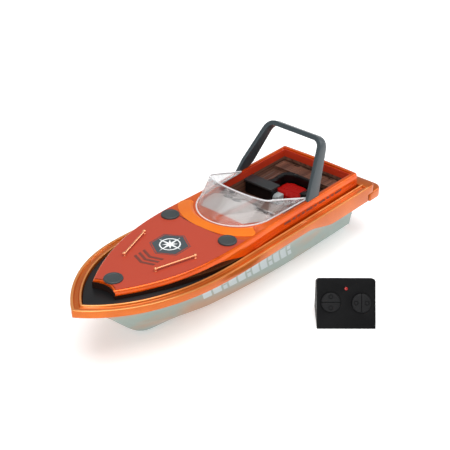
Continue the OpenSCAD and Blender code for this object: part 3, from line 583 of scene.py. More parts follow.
# %% Gunwale, sheer, keel and chine
LENGTH = 340
HALF_BEAM = 54
GUNWALE_Z = 54.4
SHEER_RISE = 3.8
TAPER_X = 34
NOSE_MITRE = 1.3
RING_START = -146
RAIL_W = 8.6
TRANSOM_X = -150
ROOF_HALF = 43.6
ROOF_Z = 67
ROOF_FALL = 2.4
ROOF_FRONT = 136
ROOF_CROWN = 0.7
WELL_AFT, WELL_FRONT, WELL_HALF = -139, -30, 39
SOLE_Z = 44.2
KEEL = [(-150, 0), (92, 0), (101, 2), (110, 9), (134, 33), (152, 46), (164, 51)]
KEEL_FLAT = [(-150, 12), (30, 12), (92, 4), (112, 0.8), (164, 0.5)]
CHINE = [(40, 5.6), (80, 10), (110, 20), (134, 38), (164, 51.4)]


def ease(t):
    u = min(1, max(0, t))
    return u * u * (3 - 2 * u)


def lookup(x, table):
    """Straight lines between the points of a short table."""
    for (x0, y0), (x1, y1) in zip(table, table[1:]):
        if x <= x1:
            return y0 + (y1 - y0) * max(0, (x - x0) / (x1 - x0))
    return table[-1][1]


def faired(x, table, reach=7):
    """The table's line with its corners smoothed, as a batten would lie."""
    return sum(lookup(x + reach * k / 3, table) for k in range(-3, 4)) / 7


def sheer(x):
    return GUNWALE_Z + SHEER_RISE * ease((x - 20) / 100)


def nose(inside):
    return LENGTH / 2 - NOSE_MITRE * inside


def half_width(x, inside):
    u = max(0, (x - TAPER_X) / (nose(inside) - TAPER_X))
    return (HALF_BEAM - inside) * max(0, 1 - u ** 3) ** 0.9


def outline_x(t, inside):
    return RING_START + (1 - (1 - t) ** 1.5) * (nose(inside) - RING_START)


def roof_w(x):
    if x > 20:
        return ROOF_HALF * (1 - ((x - 20) / 132) ** 2.4)
    return ROOF_HALF - 1.6 * ease((20 - x) / 60)


def roof_top(x):
    return ROOF_Z - ROOF_FALL * ease((x - 6) / (ROOF_FRONT - 6))


def on_roof(x, y, lift=0.0):
    """A point on the raised deck's cambered top."""
    return (x, y, roof_top(x) + ROOF_CROWN * (1 - (y / roof_w(x)) ** 2) + lift)


def skirt(x):
    return 6.6 + 8.0 * ease((-56 - x) / 40)


def roof_foot(x):
    """Where the raised deck's walls stand: on the side decks aft, on the black tray forward."""
    return sheer(x) - 3.9 + 2.8 * ease((x - 14.3) / 4)


# %% [markdown]
# ## Hull
# The tub is one thin moulding. Its section runs from a flat keel to a low chine, stands almost
# upright and then flares out under the gunwale. The skin is lofted through about ninety such
# sections and then given its wall thickness inwards, so it reads as a shell where it is clear.

# %% Hull skin
def hull_half(x):
    """The section's outer line from keel to topside, as (y, z)."""
    keel = faired(x, KEEL)
    chine_y = max(1, 32 * (1 - max(0, (x + 100) / 245) ** 2.2))
    chine_z = max(keel + 0.2, faired(x, CHINE))
    top_y = max(1.4, half_width(x, 4))
    top_z = sheer(x) - 7
    knuckle = (chine_y + 0.2 * (top_y - chine_y), chine_z + 0.55 * (top_z - chine_z))
    flat = max(0.3, faired(x, KEEL_FLAT))
    line = [(0, keel), (flat, keel), (chine_y, chine_z), knuckle, (top_y, top_z)]
    low = rounded(line[:4], 1.6, 3, closed=False)
    flare = rounded([low[-2], line[3], line[4]], 20, 10, closed=False)
    return low[:-1] + flare[1:]


def hull_row(x):
    side = hull_half(x)
    port = [(x, y, z) for y, z in reversed(side)]
    return port + [(x, -y, z) for y, z in side[1:]]


STEM_X = 164
HULL_WALL = 1.5
hull_stations = [TRANSOM_X + (STEM_X - TRANSOM_X) * (1 - (1 - k / 90) ** 1.25) for k in range(91)]
hull_points, hull_faces = loft([hull_row(x) for x in hull_stations], ring=False)
row_length = len(hull_row(0))
hull_faces.append(tuple(range(row_length)))
hull_faces.append(tuple(reversed(range(len(hull_points) - row_length, len(hull_points)))))
hull_skin = new_piece("hull_skin", hull_points, hull_faces, hull_moulding, "boat", "hull_tub", 30)
if hull_skin.data.polygons[-2].normal.x > 0:
    hull_skin.data.flip_normals()
shell_wall = hull_skin.modifiers.new("wall", "SOLIDIFY")
shell_wall.thickness = HULL_WALL * MM
shell_wall.offset = -1
print("hull rows", len(hull_stations), "points a row", row_length)

# %% [markdown]
# ## Deck moulding
# The gunwale is a rail with a groove along its top between two bright edges, a skirt that hangs
# deeper aft, and a two-step platform over the stern. The rail's profile is swept round the whole
# deck. Each corner of the profile becomes a small arc first, since it is these rounded edges that
# catch the light.

# %% Gunwale, platform and side decks
LIP_END = -58
SEAT_DROP = 6


def rail_profile(x):
    lip = -1.4 + 1.7 * ease((x - LIP_END + 3) / 3)
    return [
        (0, -skirt(x)), (0, 0), (2.4, 0), (3.1, -1.4), (RAIL_W - 2.5, -1.4), (RAIL_W - 1.7, lip + 0.02),
        (RAIL_W, lip), (RAIL_W + 0.5, -5.4), (RAIL_W + 3.2, -5.4), (RAIL_W + 3.2, -SEAT_DROP),
        (2.9, -SEAT_DROP), (2.9, -skirt(x))]


def rail_row(t, side):
    profile = rounded(rail_profile(outline_x(t, 0)), 0.7, 3)
    row = []
    for inside, rise in profile:
        x = outline_x(t, inside)
        row.append((x, side * half_width(x, inside), sheer(x) + rise))
    return row


RAIL_STEPS = 90
rail_rows = [rail_row(k / RAIL_STEPS, 1) for k in range(RAIL_STEPS + 1)]
rail_rows += [rail_row(1 - k / RAIL_STEPS, -1) for k in range(1, RAIL_STEPS + 1)]


def soft_block(low, high, corner=(1, 1, 1, 1), edge=0.6, steps=6):
    """An upright block with round corners, in order aft-starboard, fore-starboard, fore-port and
    aft-port, and with round upper and lower edges."""
    (x0, y0, z0), (x1, y1, z1) = low, high
    rows = []
    levels = [(edge * (1 - math.sin(a)), z0 + edge * (1 - math.cos(a)))
              for a in (math.pi / 2 * k / 3 for k in range(4))]
    levels += [(inset, z1 + z0 - z) for inset, z in reversed(levels)]
    centres = [(x0, y0, 1, 1, 180), (x1, y0, -1, 1, 270), (x1, y1, -1, -1, 0), (x0, y1, 1, -1, 90)]
    for inset, z in levels:
        row = []
        for (cx, cy, sx, sy, start), radius in zip(centres, corner):
            full = max(radius, edge)
            for k in range(steps + 1):
                a = math.radians(start + 90 * k / steps)
                row.append((cx + sx * full + (full - inset) * math.cos(a),
                            cy + sy * full + (full - inset) * math.sin(a), z))
        rows.append(row)
    return loft(rows)


PLATFORM = ((-170, -HALF_BEAM, 37.6), (-149.5, HALF_BEAM, 47))
STERN_STEP = ((-158, -HALF_BEAM, 46.2), (-145, HALF_BEAM, GUNWALE_Z))
DECK_LOW, DECK_TOP, DECK_FRONT = 48.4, 50.4, 14
deck_shapes = [
    loft(rail_rows),
    soft_block(*PLATFORM, (9, 1, 1, 9), 1.8, 14),
    soft_block(*STERN_STEP, (7, 1, 1, 7), 1.2, 14),
]
for side in (1, -1):
    y0, y1 = sorted((side * (WELL_HALF + 0.2), side * (HALF_BEAM - RAIL_W - 0.3)))
    deck_shapes.append(soft_block((-145.6, y0, DECK_LOW), (DECK_FRONT, y1, DECK_TOP), edge=0.2))
for x0, x1 in ((-146, WELL_AFT - 0.1), (-3.6, DECK_FRONT)):
    deck_shapes.append(soft_block((x0, -42, DECK_LOW), (x1, 42, DECK_TOP), edge=0.2))
new_piece("gunwale_and_platform", *joined(*deck_shapes), rail_lacquer, "boat", "deck_moulding", 36)

# %% Round beads along the gunwale, painted pale as highlights
def bead_line(inside, width, lift, lap=0.25):
    """A round bead that follows the gunwale, between two distances in from its outer edge."""
    rows = []
    for side, order in ((1, range(RAIL_STEPS + 1)), (-1, range(RAIL_STEPS - 1, -1, -1))):
        for k in order:
            row = []
            for j in range(9):
                a = math.pi * j / 8
                d = inside + width / 2 - width / 2 * math.cos(a)
                x = outline_x(k / RAIL_STEPS, d)
                row.append((x, side * half_width(x, d), sheer(x) + lift * math.sin(a)))
            for d in (inside + width, inside):
                x = outline_x(k / RAIL_STEPS, d)
                row.append((x, side * half_width(x, d), sheer(x) - lap - 1.2 * (d > 4)))
            rows.append(row)
    return loft(rows)


# The beads' pale lacquer paints the highlight on the gunwale's two edges into their colour
new_piece("gunwale_beads", *joined(bead_line(0.15, 2.1, 0.35), bead_line(6.9, 1.7, 0.6)),
          bead_highlight_lacquer, "boat", slot="metallised_rail", smooth_angle=50)

# %% [markdown]
# ## Raised deck
# The roof is lofted like the hull, but it is a plain closed body, so the cockpit well can be cut
# out of it with a Boolean. That keeps the coaming's walls exactly as thick as the difference
# between the two outlines. Its upper edge is a narrow round, which carries the brightest line of
# the whole boat.

# %% Raised deck with its well cut out
WALL_OUT = 1.2
CAMBER_AT = (0.97, 0.8, 0.6, 0.4, 0.2, 0)
FRONT_BOW, BOW_FROM_X = 3.5, 118


def front_bow(x, y):
    """How far the roof's forward end is drawn back at a distance from the centreline."""
    near_front = ease((x - BOW_FROM_X) / (ROOF_FRONT - BOW_FROM_X))
    return FRONT_BOW * near_front * (1 - min(1, abs(y) / roof_w(x)) ** 2)


def roof_row(x):
    w, top = roof_w(x), roof_top(x)
    wall, flat = w + WALL_OUT, w - 4
    side = rounded([(wall, roof_foot(x)), (wall, top - 3.8), (w + 0.3, top - 0.6), (w - 0.8, top),
                    (flat, top + 0.1)], 0.8, 3, closed=False)
    camber = [(f * flat, top + ROOF_CROWN * (1 - (f * flat / w) ** 2)) for f in CAMBER_AT]
    half = side[:-1] + camber
    foot = [(y, roof_foot(x))
            for y in [-y for y, _ in camber[:-1]] + [y for y, _ in reversed(camber)]]
    line = half + [(-y, z) for y, z in reversed(half[:-1])] + foot
    return [(x - front_bow(x, y), y, z) for y, z in line]


def well_outline():
    """The cockpit well seen from above: square aft, and round under the windscreen."""
    front = [(-28 + 33.4 * math.cos(a), 34 * math.sin(a)) for a in
             (math.radians(-44 + 88 * k / 24) for k in range(25))]
    front = [(min(x, -28 + 24), y) for x, y in front]
    aft = [(-40.5, -34), (-40.5, -WELL_HALF), (WELL_AFT, -WELL_HALF), (WELL_AFT, WELL_HALF),
           (-40.5, WELL_HALF), (-40.5, 34)]
    return front + [(-20, 34)] + list(reversed(aft)) + [(-20, -34)]


roof_stations = [WELL_AFT - 3 + (ROOF_FRONT - WELL_AFT + 3) * k / 84 for k in range(85)]
roof_points, roof_faces = loft([roof_row(x) for x in roof_stations], caps=False)
ROW = len(roof_row(0))
ACROSS = 2 * len(CAMBER_AT) - 1
UPPER = ROW - ACROSS
EDGE = (UPPER - ACROSS) // 2
LAST = ACROSS - 1
for start in (0, len(roof_points) - ROW):
    # Both ends are closed with upright strips, so the front face keeps its drawn-back curve
    strips = [(EDGE + k, EDGE + k + 1, UPPER + LAST - 1 - k, UPPER + LAST - k) for k in range(LAST)]
    strips += [tuple(range(EDGE + 1)) + (UPPER + LAST,), tuple(range(EDGE + LAST, UPPER)) + (UPPER,)]
    roof_faces += [tuple(start + k for k in strip) for strip in strips]
roof_piece = new_piece("raised_deck", roof_points, roof_faces, roof_lacquer, "boat", "coachroof", 30)
outline = well_outline()
cutter = new_piece("well_cutter", *loft([[(x, y, z) for x, y in outline] for z in (40, 80)]),
                   roof_lacquer, "boat")
cut = roof_piece.modifiers.new("well", "BOOLEAN")
cut.object = cutter
cut.operation = "DIFFERENCE"
cut.solver = "EXACT"
bake(roof_piece)
bpy.data.objects.remove(cutter)


def soften_rim(piece, width_mm, angle, keep):
    """Bevels a piece's sharp edges where keep() says so."""
    shape = bmesh.new()
    shape.from_mesh(piece.data)
    bmesh.ops.remove_doubles(shape, verts=shape.verts, dist=0.01 * MM)
    edges = [e for e in sharp_edges(shape, angle) if keep(e)]
    bmesh.ops.bevel(shape, geom=edges, offset=width_mm * MM, segments=3, profile=0.5, affect="EDGES",
                    clamp_overlap=True)
    shade(shape, 38)
    shape.to_mesh(piece.data)
    shape.free()


soften_rim(roof_piece, 0.7, 50, lambda e: min(v.co.z for v in e.verts) > 0.06)


# %% Dark strip at the foot of the roof's wall, painted shade and dark reflection
PAINTED_SHADE_AFT = 17
painted_shade_rows = []
for k in range(61):
    x = PAINTED_SHADE_AFT + (ROOF_FRONT - PAINTED_SHADE_AFT) * k / 60
    low, y = roof_foot(x) + 0.1, roof_w(x) + WALL_OUT
    high = low + 0.1 + (roof_top(x) - 4.5 - low) * ease((x - 8) / 46)
    painted_shade_rows.append([(x, y - 0.3, low), (x, y + 0.22, low), (x, y + 0.22, high), (x, y - 0.3, high)])
front_rows = []
low, high = roof_foot(ROOF_FRONT) + 0.1, roof_top(ROOF_FRONT) - 1.6
for k in range(25):
    y = (1 - 2 * k / 24) * (roof_w(ROOF_FRONT) + WALL_OUT)
    x = ROOF_FRONT - front_bow(ROOF_FRONT, y)
    front_rows.append([(x - 0.3, y, low), (x + 0.25, y, low), (x + 0.25, y, high), (x - 0.3, y, high)])
mirrored = [[(x, -y, z) for x, y, z in row] for row in painted_shade_rows]
# The dark gloss strip paints the shade and dark reflection on the lower part of the roof's wall
new_piece("roof_upstand", *joined(loft(painted_shade_rows), loft(mirrored), loft(front_rows)),
          painted_shade_gloss, "boat", slot="metallised_roof", smooth_angle=40)
print("raised deck faces", len(roof_piece.data.polygons))

# %% [markdown]
# ## Printed film, badge and plugs
# The dull red field on the roof is a printed film, a quarter of a millimetre thick, which leaves a
# rim of bare lacquer all round. The badge on it is a dark six-sided plate with a compass star. All
# of these follow the roof, so they are built as flat outlines laid on its curve: an outline is
# shrunk in steps towards its middle, and each ring of points is lifted on to the roof.

# %% Film on the roof
FILM_AFT, FILM_AFT_BOW = 23.6, 9.6
FILM_FRONT, FILM_FRONT_BOW = 134, 3.3
FILM_TOP, FILM_LOW = 0.31, 0.06
BARE_RIM = 1.0


def film_point(run, across, lift):
    aft = FILM_AFT - FILM_AFT_BOW * abs(across) ** 3
    front = FILM_FRONT - FILM_FRONT_BOW * (1 - across * across)
    x = aft + run * (front - aft)
    return on_roof(x, across * (roof_w(x) - BARE_RIM), lift)


film_rows = []
for i in range(61):
    across = [-1 + 2 * k / 24 for k in range(25)]
    film_rows.append([film_point(i / 60, v, FILM_TOP) for v in across]
                     + [film_point(i / 60, v, FILM_LOW) for v in reversed(across)])
new_piece("deck_film", *loft(film_rows), decal_film, "boat", "deck_decal", 50)


def middle(outline_xy):
    return tuple(sum(values) / len(outline_xy) for values in zip(*outline_xy))


def roof_plate(outline_xy, low, high, rings=4):
    """A thin plate that follows the roof, from a flat outline that its middle can see."""
    cx, cy = middle(outline_xy)
    rows = []
    for lift, order in ((high, range(1, rings + 1)), (low, range(rings, 0, -1))):
        for k in order:
            f = max(0.02, (k - 0.98) / (rings - 0.98)) if k < rings else 1
            rows.append([on_roof(cx + f * (x - cx), cy + f * (y - cy), lift) for x, y in outline_xy])
    return loft(rows)


def roof_line(outline_xy, width, low, high):
    """A thin closed line along an outline on the roof."""
    cx, cy = middle(outline_xy)
    reach = max(math.hypot(x - cx, y - cy) for x, y in outline_xy)
    inner = 1 - width / reach
    rows = []
    for f, lift in ((1, high), (inner, high), (inner, low), (1, low), (1, high)):
        rows.append([on_roof(cx + f * (x - cx), cy + f * (y - cy), lift) for x, y in outline_xy])
    return loft(rows, caps=False)


def spokes(cx, cy, radii):
    """An outline whose corners lie at the given radii in turn."""
    angles = [math.tau * k / len(radii) for k in range(len(radii))]
    return [(cx + r * math.cos(a), cy + r * math.sin(a)) for r, a in zip(radii, angles)]


# %% Badge, compass star and chevrons
BADGE_AT = (60, 0)
PLATE_R, BORDER_R, STAR_RING_R = 15.6, 17.4, 9
STAR_RADII = [12.6, 2.6, 6.6, 2.6] * 4
ON_FILM, ON_PLATE = 0.32, 0.53
new_piece("badge_plate", *joined(
    roof_plate(spokes(*BADGE_AT, [PLATE_R] * 6), ON_FILM, 0.52),
    roof_line(spokes(*BADGE_AT, [BORDER_R] * 6), 0.7, ON_FILM, 0.47)),
    badge_ink, "boat", "deck_badge", 50)
new_piece("compass_star", *joined(
    roof_plate(spokes(*BADGE_AT, STAR_RADII), ON_PLATE, 0.66),
    roof_line(spokes(*BADGE_AT, [STAR_RING_R] * 40), 1.1, ON_PLATE, 0.64)),
    star_ink, "boat", slot="badge_print")
chevrons = []
for x in (82.5, 87.5, 92.5):
    for side in (1, -1):
        chevrons.append(roof_plate([(x, 0), (x + 2.6, 0), (x - 1.4, side * 11), (x - 4, side * 11)],
                                   ON_FILM, 0.44))
new_piece("deck_chevrons", *joined(*chevrons), film_ink, "boat", slot="badge_print")

# %% Deck plugs and grab rails
PLUGS = [(125, 0), (25.3, 32.4), (25.3, -32.4)]
plug_profile = [(0, 1.35), (5.2, 1.35), (5.7, 1.5), (6.6, 1.9), (7.3, 1.85), (7.8, 1.5), (8, 0.9),
                (8, 0.15), (6.1, 0.1), (6.1, -3.4), (0, -3.4)]
plug_shapes = [moved(lathe(plug_profile, 56), at(x, y, roof_top(x) + 0.45)) for x, y in PLUGS]
new_piece("deck_plugs_domed", *joined(*plug_shapes), plug_rubber, "boat", "deck_plugs", 30)


def ball(r):
    arc = [(r * math.sin(math.pi * k / 12), r * math.cos(math.pi * k / 12)) for k in range(1, 12)]
    return lathe([(0, r)] + arc + [(0, -r)], 20)


RAIL_ENDS = ((95.3, 17.6), (60.8, 28.8))
foot_profile = [(0, 0), (0.8, 0), (0.8, -1.6), (1.6, -2.35), (1.6, -2.6), (0, -2.6)]
rail_shapes = []
for side in (1, -1):
    ends = [Vector((x, side * y, roof_top(x) + 2.6)) for x, y in RAIL_ENDS]
    route = [ends[0].lerp(ends[1], k / 10) for k in range(11)]
    rail_shapes.append(loft(tube(route, 0.85, 14)))
    for end in ends:
        rail_shapes.append(moved(ball(1.65), at(*end)))
        rail_shapes.append(moved(lathe(foot_profile, 20), at(*end)))
new_piece("grab_rails_cast", *joined(*rail_shapes), copper_trim, "boat", "grab_rails", 40)

# %% [markdown]
# ## Windscreen
# The screen is one bent sheet of clear acrylic between a foot curve on the roof and a lower,
# straighter top curve. Its faces nearly vanish, so what the eye really sees is its edges, where
# light piped through the sheet comes out: they get rims of white acrylic that paint this light on
# as a highlight.

# %% Screen sheet and its edges, painted white as highlights
# The sheet is bent round its front and runs straight aft over the rest of each side
SCREEN_X, SCREEN_REACH, SCREEN_HALF, SCREEN_RISE = -26, 37.2, 36.6, 17
TOP_X, TOP_HALF = -21, 35.2
ROUND_SHARE = 0.6


def screen_foot(u):
    a, s = abs(u), math.copysign(1, u)
    turn = math.radians(a * 150)
    if a < ROUND_SHARE:
        return SCREEN_X + SCREEN_REACH * math.cos(turn), s * SCREEN_HALF * math.sin(turn), ROOF_Z
    f = (a - ROUND_SHARE) / 0.4
    return SCREEN_X - 46 * f, s * (SCREEN_HALF + 1.6 * f), ROOF_Z


def screen_top(u):
    a, s = abs(u), math.copysign(1, u)
    top = ROOF_Z + SCREEN_RISE
    if a < ROUND_SHARE:
        return TOP_X - 8 * (a / ROUND_SHARE) ** 2, s * TOP_HALF * math.sin(math.radians(a * 150)), top
    f = (a - ROUND_SHARE) / 0.4
    return TOP_X - 8 - 44 * f, s * (TOP_HALF + 2.6 * f), top - 15.6 * f


screen_rows = []
THIN = 1 - 1.2 / 36
for i in range(97):
    u = -1 + i / 48
    foot, top = Vector(screen_foot(u)), Vector(screen_top(u))
    inner_foot = Vector((foot.x - 1.5, foot.y * THIN, foot.z))
    inner_top = Vector((top.x - 1.0, top.y * THIN, top.z - 0.2))
    screen_rows.append([foot.lerp(top, k / 8) for k in range(9)]
                       + [inner_top.lerp(inner_foot, k / 8) for k in range(9)])
new_piece("screen_sheet", *loft(screen_rows), screen_clear, "boat", "windscreen", 40)
# The rims' white acrylic paints the light that comes out at the screen's edges
rims = []
for edge, radius, back, rise in ((screen_top, 0.75, 0.4, -0.3), (screen_foot, 0.8, 0.5, 0.5)):
    route = [Vector(edge(-1 + i / 48)) for i in range(97)]
    inside = [Vector((p.x - back, p.y * 0.985, p.z + rise)) for p in route]
    rims.append(loft(tube(inside, radius, 10)))
new_piece("screen_rims", *joined(*rims), screen_edge_highlight, "boat", slot="clear_screen")

# %% [markdown]
# ## Cockpit
# The cockpit is a printed liner: glossy orange above, brown boards below. The boards on the sole,
# the side shelves and the hatch are real strips with seams between them. They repeat, so one
# Geometry Nodes tree lays them: a row of points, a board on each point, then Realize Instances, so
# that they end as one plain mesh.

# %% Board tree
def board_tree():
    tree = bpy.data.node_groups.new("deck_boards", "GeometryNodeTree")
    sizes = {"Count": ("NodeSocketInt", 6), "Start": ("NodeSocketVector", (0, 0, 0)),
             "Step": ("NodeSocketVector", (0, 0.005, 0)),
             "Board Size": ("NodeSocketVector", (0.05, 0.005, 0.001)),
             "Finish": ("NodeSocketMaterial", None)}
    for name, (kind, value) in sizes.items():
        socket = tree.interface.new_socket(name, in_out="INPUT", socket_type=kind)
        if value is not None:
            socket.default_value = value
    tree.interface.new_socket("Geometry", in_out="OUTPUT", socket_type="NodeSocketGeometry")
    given = add_node(tree, "NodeGroupInput").outputs
    row = add_node(tree, "GeometryNodeMeshLine", {
        "Count": given["Count"], "Start Location": given["Start"], "Offset": given["Step"]}, mode="OFFSET")
    board = add_node(tree, "GeometryNodeMeshCube", {"Size": given["Board Size"]})
    laid = add_node(tree, "GeometryNodeInstanceOnPoints", {
        "Points": row.outputs["Mesh"], "Instance": board.outputs["Mesh"]})
    real = add_node(tree, "GeometryNodeRealizeInstances", {"Geometry": laid.outputs["Instances"]})
    done = add_node(tree, "GeometryNodeSetMaterial", {
        "Geometry": real.outputs["Geometry"], "Material": given["Finish"]})
    end = add_node(tree, "NodeGroupOutput")
    tree.links.new(done.outputs["Geometry"], end.inputs["Geometry"])
    return tree


BOARDS = board_tree()


def grown(tree, name, body, slot, **sizes):
    """Runs a tree with its named inputs set and keeps the result as one plain piece."""
    piece = bpy.data.objects.new(name, bpy.data.meshes.new(name))
    bpy.context.scene.collection.objects.link(piece)
    modifier = piece.modifiers.new("tree", "NODES")
    modifier.node_group = tree
    for item in tree.interface.items_tree:
        key = item.name.replace(" ", "_")
        if item.item_type == "SOCKET" and item.in_out == "INPUT" and key in sizes:
            modifier[item.identifier] = sizes[key]
    bake(piece)
    shape = bmesh.new()
    shape.from_mesh(piece.data)
    bmesh.ops.bevel(shape, geom=sharp_edges(shape, 69), offset=0.2 * MM, segments=1,
                    affect="EDGES", clamp_overlap=True)
    shape.to_mesh(piece.data)
    shape.free()
    print(name, "faces", len(piece.data.polygons))
    return dress(piece, sizes["Finish"], body, None, 30)


def boards(name, body, count, start, step, size, slot="cabin_brown"):
    return grown(BOARDS, name, body, slot, Count=count, Start=[v * MM for v in start],
                 Step=[v * MM for v in step], Board_Size=[v * MM for v in size], Finish=cabin_boards)


# %% Boards on the sole, shelves and hatch
softened("cockpit_liner", 0.35, cabin_print)
softened("battery_hatch", 0.3, cabin_boards)
boards("sole_boards", "boat", 12, (-81.5, -34.9, SOLE_Z + 0.25), (0, 6.35, 0), (79, 6.0, 0.5))
for side, label in ((1, "port"), (-1, "stbd")):
    boards(f"shelf_boards_{label}", "boat", 3, (-106.9, side * 24.8, 52.2), (0, side * 5.2, 0),
           (29.4, 4.9, 0.5))
boards("hatch_boards", "hatch", 4, (-131.4, 0, 55.55), (2.9, 0, 0), (2.6, 73.6, 0.4), "plank_print")

# %% [markdown]
# ## Bench and seats
# The bench is vinyl over foam: a black back bent in a U round a red cushion. Both swell between
# their seams, so both are filled with Blender's cloth pressure. Cloth is tuned for things the size
# of furniture, so the pad is simulated ten times larger than life and then brought back.

# %% Fill a pad with pressure
SCALE_UP = 10
VOXEL_MM = 0.6
PAD_FLOOR = SOLE_Z + 0.1


def filled(name, shape, material, node, caps_mm, creases=()):
    """A padded piece from a closed shape: even skin, pressure, a cap on the swell, then its seams."""
    mesh = bpy.data.meshes.new(name)
    mesh.from_pydata([Vector(p) * MM * SCALE_UP for p in shape[0]], [], shape[1])
    pad = bpy.data.objects.new(name, mesh)
    bpy.context.scene.collection.objects.link(pad)
    skin = pad.modifiers.new("even_skin", "REMESH")
    skin.mode = "VOXEL"
    skin.voxel_size = VOXEL_MM * MM * SCALE_UP
    bake(pad)
    start = [v.co.copy() for v in pad.data.vertices]
    cloth = pad.modifiers.new("fill", "CLOTH")
    cloth.settings.use_pressure = True
    cloth.settings.uniform_pressure_force = 4
    cloth.settings.effector_weights.gravity = 0
    for step in range(1, 21):
        bpy.context.scene.frame_set(step)
    bake(pad)
    bpy.context.scene.frame_set(1)
    cap = Vector(caps_mm) * MM * SCALE_UP
    moved_most = 0
    for vertex, old in zip(pad.data.vertices, start):
        shift = vertex.co - old
        shift = Vector([max(-cap[i], min(cap[i], shift[i])) for i in range(3)])
        moved_most = max(moved_most, shift.length / MM / SCALE_UP)
        place = (old + shift) / SCALE_UP
        place.z = max(place.z, PAD_FLOOR * MM)
        vertex.co = place
    finer = pad.modifiers.new("finer", "SUBSURF")
    finer.levels = finer.render_levels = 1
    bake(pad)
    for vertex in pad.data.vertices:
        for crease in creases:
            vertex.co += crease(vertex.co / MM) * MM
    print(name, "points", len(pad.data.vertices), "swell mm", round(moved_most, 2))
    dress(pad, material, "boat", node, 80)
    return pad


def bench_plan(half, aft, r, steps=14):
    """The bench seen from above, open end forward, as a closed outline."""
    front = -91.2
    line = [(front, -half)]
    for cy, start in ((-half + r, 270), (half - r, 180)):
        for k in range(steps + 1):
            a = math.radians(start - 90 * k / steps)
            line.append((aft + r + r * math.cos(a), cy + r * math.sin(a)))
    return line + [(front, half)]


def channel(x_mm, depth, width, low):
    """A sewn channel across the pad at one x."""
    def press(p):
        if p.z < low:
            return Vector((0, 0, 0))
        return Vector((0, 0, -depth * math.exp(-((p.x - x_mm) / width) ** 2)))
    return press


cushion_line = bench_plan(15.1, -114.8, 8.2)
cushion_rows = [[(x, y, z) for x, y in cushion_line] for z in (SOLE_Z + 0.2, 46, 48, 49.4)]
filled("seat_cushion", loft(cushion_rows), red_vinyl, "bench_cushion", (0.7, 0.7, 1.7),
       [channel(x, 0.9, 0.7, 47.5) for x in (-99, -107)])

# %% Bench back
back_outer = bench_plan(21, -120.7, 12.6)
back_inner = bench_plan(16.7, -116.5, 9.4)
back_line = back_outer + list(reversed(back_inner))
back_rows = [[(x, y, z) for x, y in back_line] for z in (SOLE_Z + 0.2, 49, 54, 57.6)]
filled("bench_back_padded", loft(back_rows), gloss_black, "bench_back", (0.45, 0.45, 0.9))
piping = [(x, y, 57.2) for x, y in bench_plan(16.5, -116.3, 9.2)]
new_piece("bench_piping", *loft(tube(piping, 0.35, 8)), gloss_black, "boat", slot="black_gloss")

# %% Helm seat, locker and dash
softened("helm_seat", 1.1, gloss_black, 50, 4)
softened("helm_seat_cap", 0.5, cap_grey, 40, 3)
softened("side_locker", 0.6, light_grey, 40, 3)
softened("dash_panel", 0.7, dash_grey, 35, 3)
DASH_TILT = Matrix.Rotation(math.radians(-20), 4, "Y")
dial_profile = [(0, 0.5), (3.1, 0.5), (3.3, 0.9), (3.9, 1.0), (4.2, 0.7), (4.3, 0), (0, 0)]
dials = [moved(lathe(dial_profile, 32), at(-38, y, 62.35) @ DASH_TILT) for y in (-22, -12, 14, 24)]
new_piece("dash_dials", *joined(*dials), gloss_black, "boat", slot="black_gloss")
new_piece("dash_post", *soft_block((-47.2, -0.4, SOLE_Z), (-45.7, 3.6, 59.8), edge=0.5),
          black_styrene, "boat", slot="black_plastic")

# %% [markdown]
# ## Windscreen surround and coaming trim
# A low bead runs round the foot of the screen. Its shape turns the light there from dark red to
# bright orange and back, and its lighter amber lacquer paints part of that highlight into its colour.
# The coaming's sides carry a thin raised step and a row of dashes, and the hull's flare carries a
# printed flash of slanted bars, all laid on the curves above.

# %% Bead round the screen, step along the coaming
BEAD_HALF_ANGLE = 58


def bead_row(a):
    """A low wide section standing on the roof, across the direction from the screen's centre."""
    out = Vector((math.cos(a), math.sin(a)))
    row = []
    for k in range(13):
        f = k / 12
        reach = 2.2 + (9.5 + 5 * abs(out.y)) * f
        x, y = SCREEN_X + (SCREEN_REACH + reach) * out.x, (SCREEN_HALF + reach) * out.y
        y = max(-roof_w(x) + 1.0, min(roof_w(x) - 1.0, y))
        row.append(on_roof(x, y, 0.25 + 2.0 * min(f / 0.2, (1 - f) / 0.8)))
    for x, y in (row[-1][:2], row[0][:2]):
        row.append(on_roof(x, y, -0.4))
    return row


bead = loft([bead_row(math.radians(BEAD_HALF_ANGLE * (k / 36 - 1))) for k in range(73)])
# The bead's lighter amber lacquer paints part of its highlight into its colour
new_piece("screen_surround", *bead, surround_highlight_lacquer, "boat", slot="metallised_roof", smooth_angle=50)


def coaming_strip(x0, x1, z0, z1, proud, side, steps=40):
    """A thin strip on the coaming's side between two heights."""
    rows = []
    eased = 0.35 * proud
    for k in range(steps + 1):
        x = x0 + (x1 - x0) * k / steps
        y = roof_w(x) + WALL_OUT - 0.1
        section = [(y, z0), (y + proud, z0 + eased), (y + proud, z1 - eased), (y, z1),
                   (y - 0.8, z1), (y - 0.8, z0)]
        rows.append([(x, side * across, z) for across, z in section])
    return loft(rows)


STEP_Z, DASH_Z = (53.6, 56.6), (59.2, 61.4)
steps = [coaming_strip(-141, 4, *STEP_Z, 0.7, side) for side in (1, -1)]
new_piece("coaming_step", *joined(*steps), roof_lacquer, "boat", slot="metallised_roof", smooth_angle=25)
dashes = []
for side in (1, -1):
    x = -118
    for width in (9, 4, 4, 9, 4, 9, 4, 4, 4, 9):
        dashes.append(coaming_strip(x, x + width, *DASH_Z, 0.16, side, 2))
        x += width + 2.4
new_piece("coaming_dashes", *joined(*dashes), film_ink, "boat", slot="badge_print")

# %% Slanted bars on the hull's flare
def flare_y(x, z):
    """The hull's half-breadth at a height on its flare."""
    line = hull_half(x)
    for (y0, z0), (y1, z1) in zip(line, line[1:]):
        if z0 <= z <= z1 and z1 > z0:
            return y0 + (y1 - y0) * (z - z0) / (z1 - z0)
    return line[-1][0]


BAR_LEAN = 0.5
BAR_START, BAR_LOW, BAR_HIGH = -61.0, 15.6, 13.4


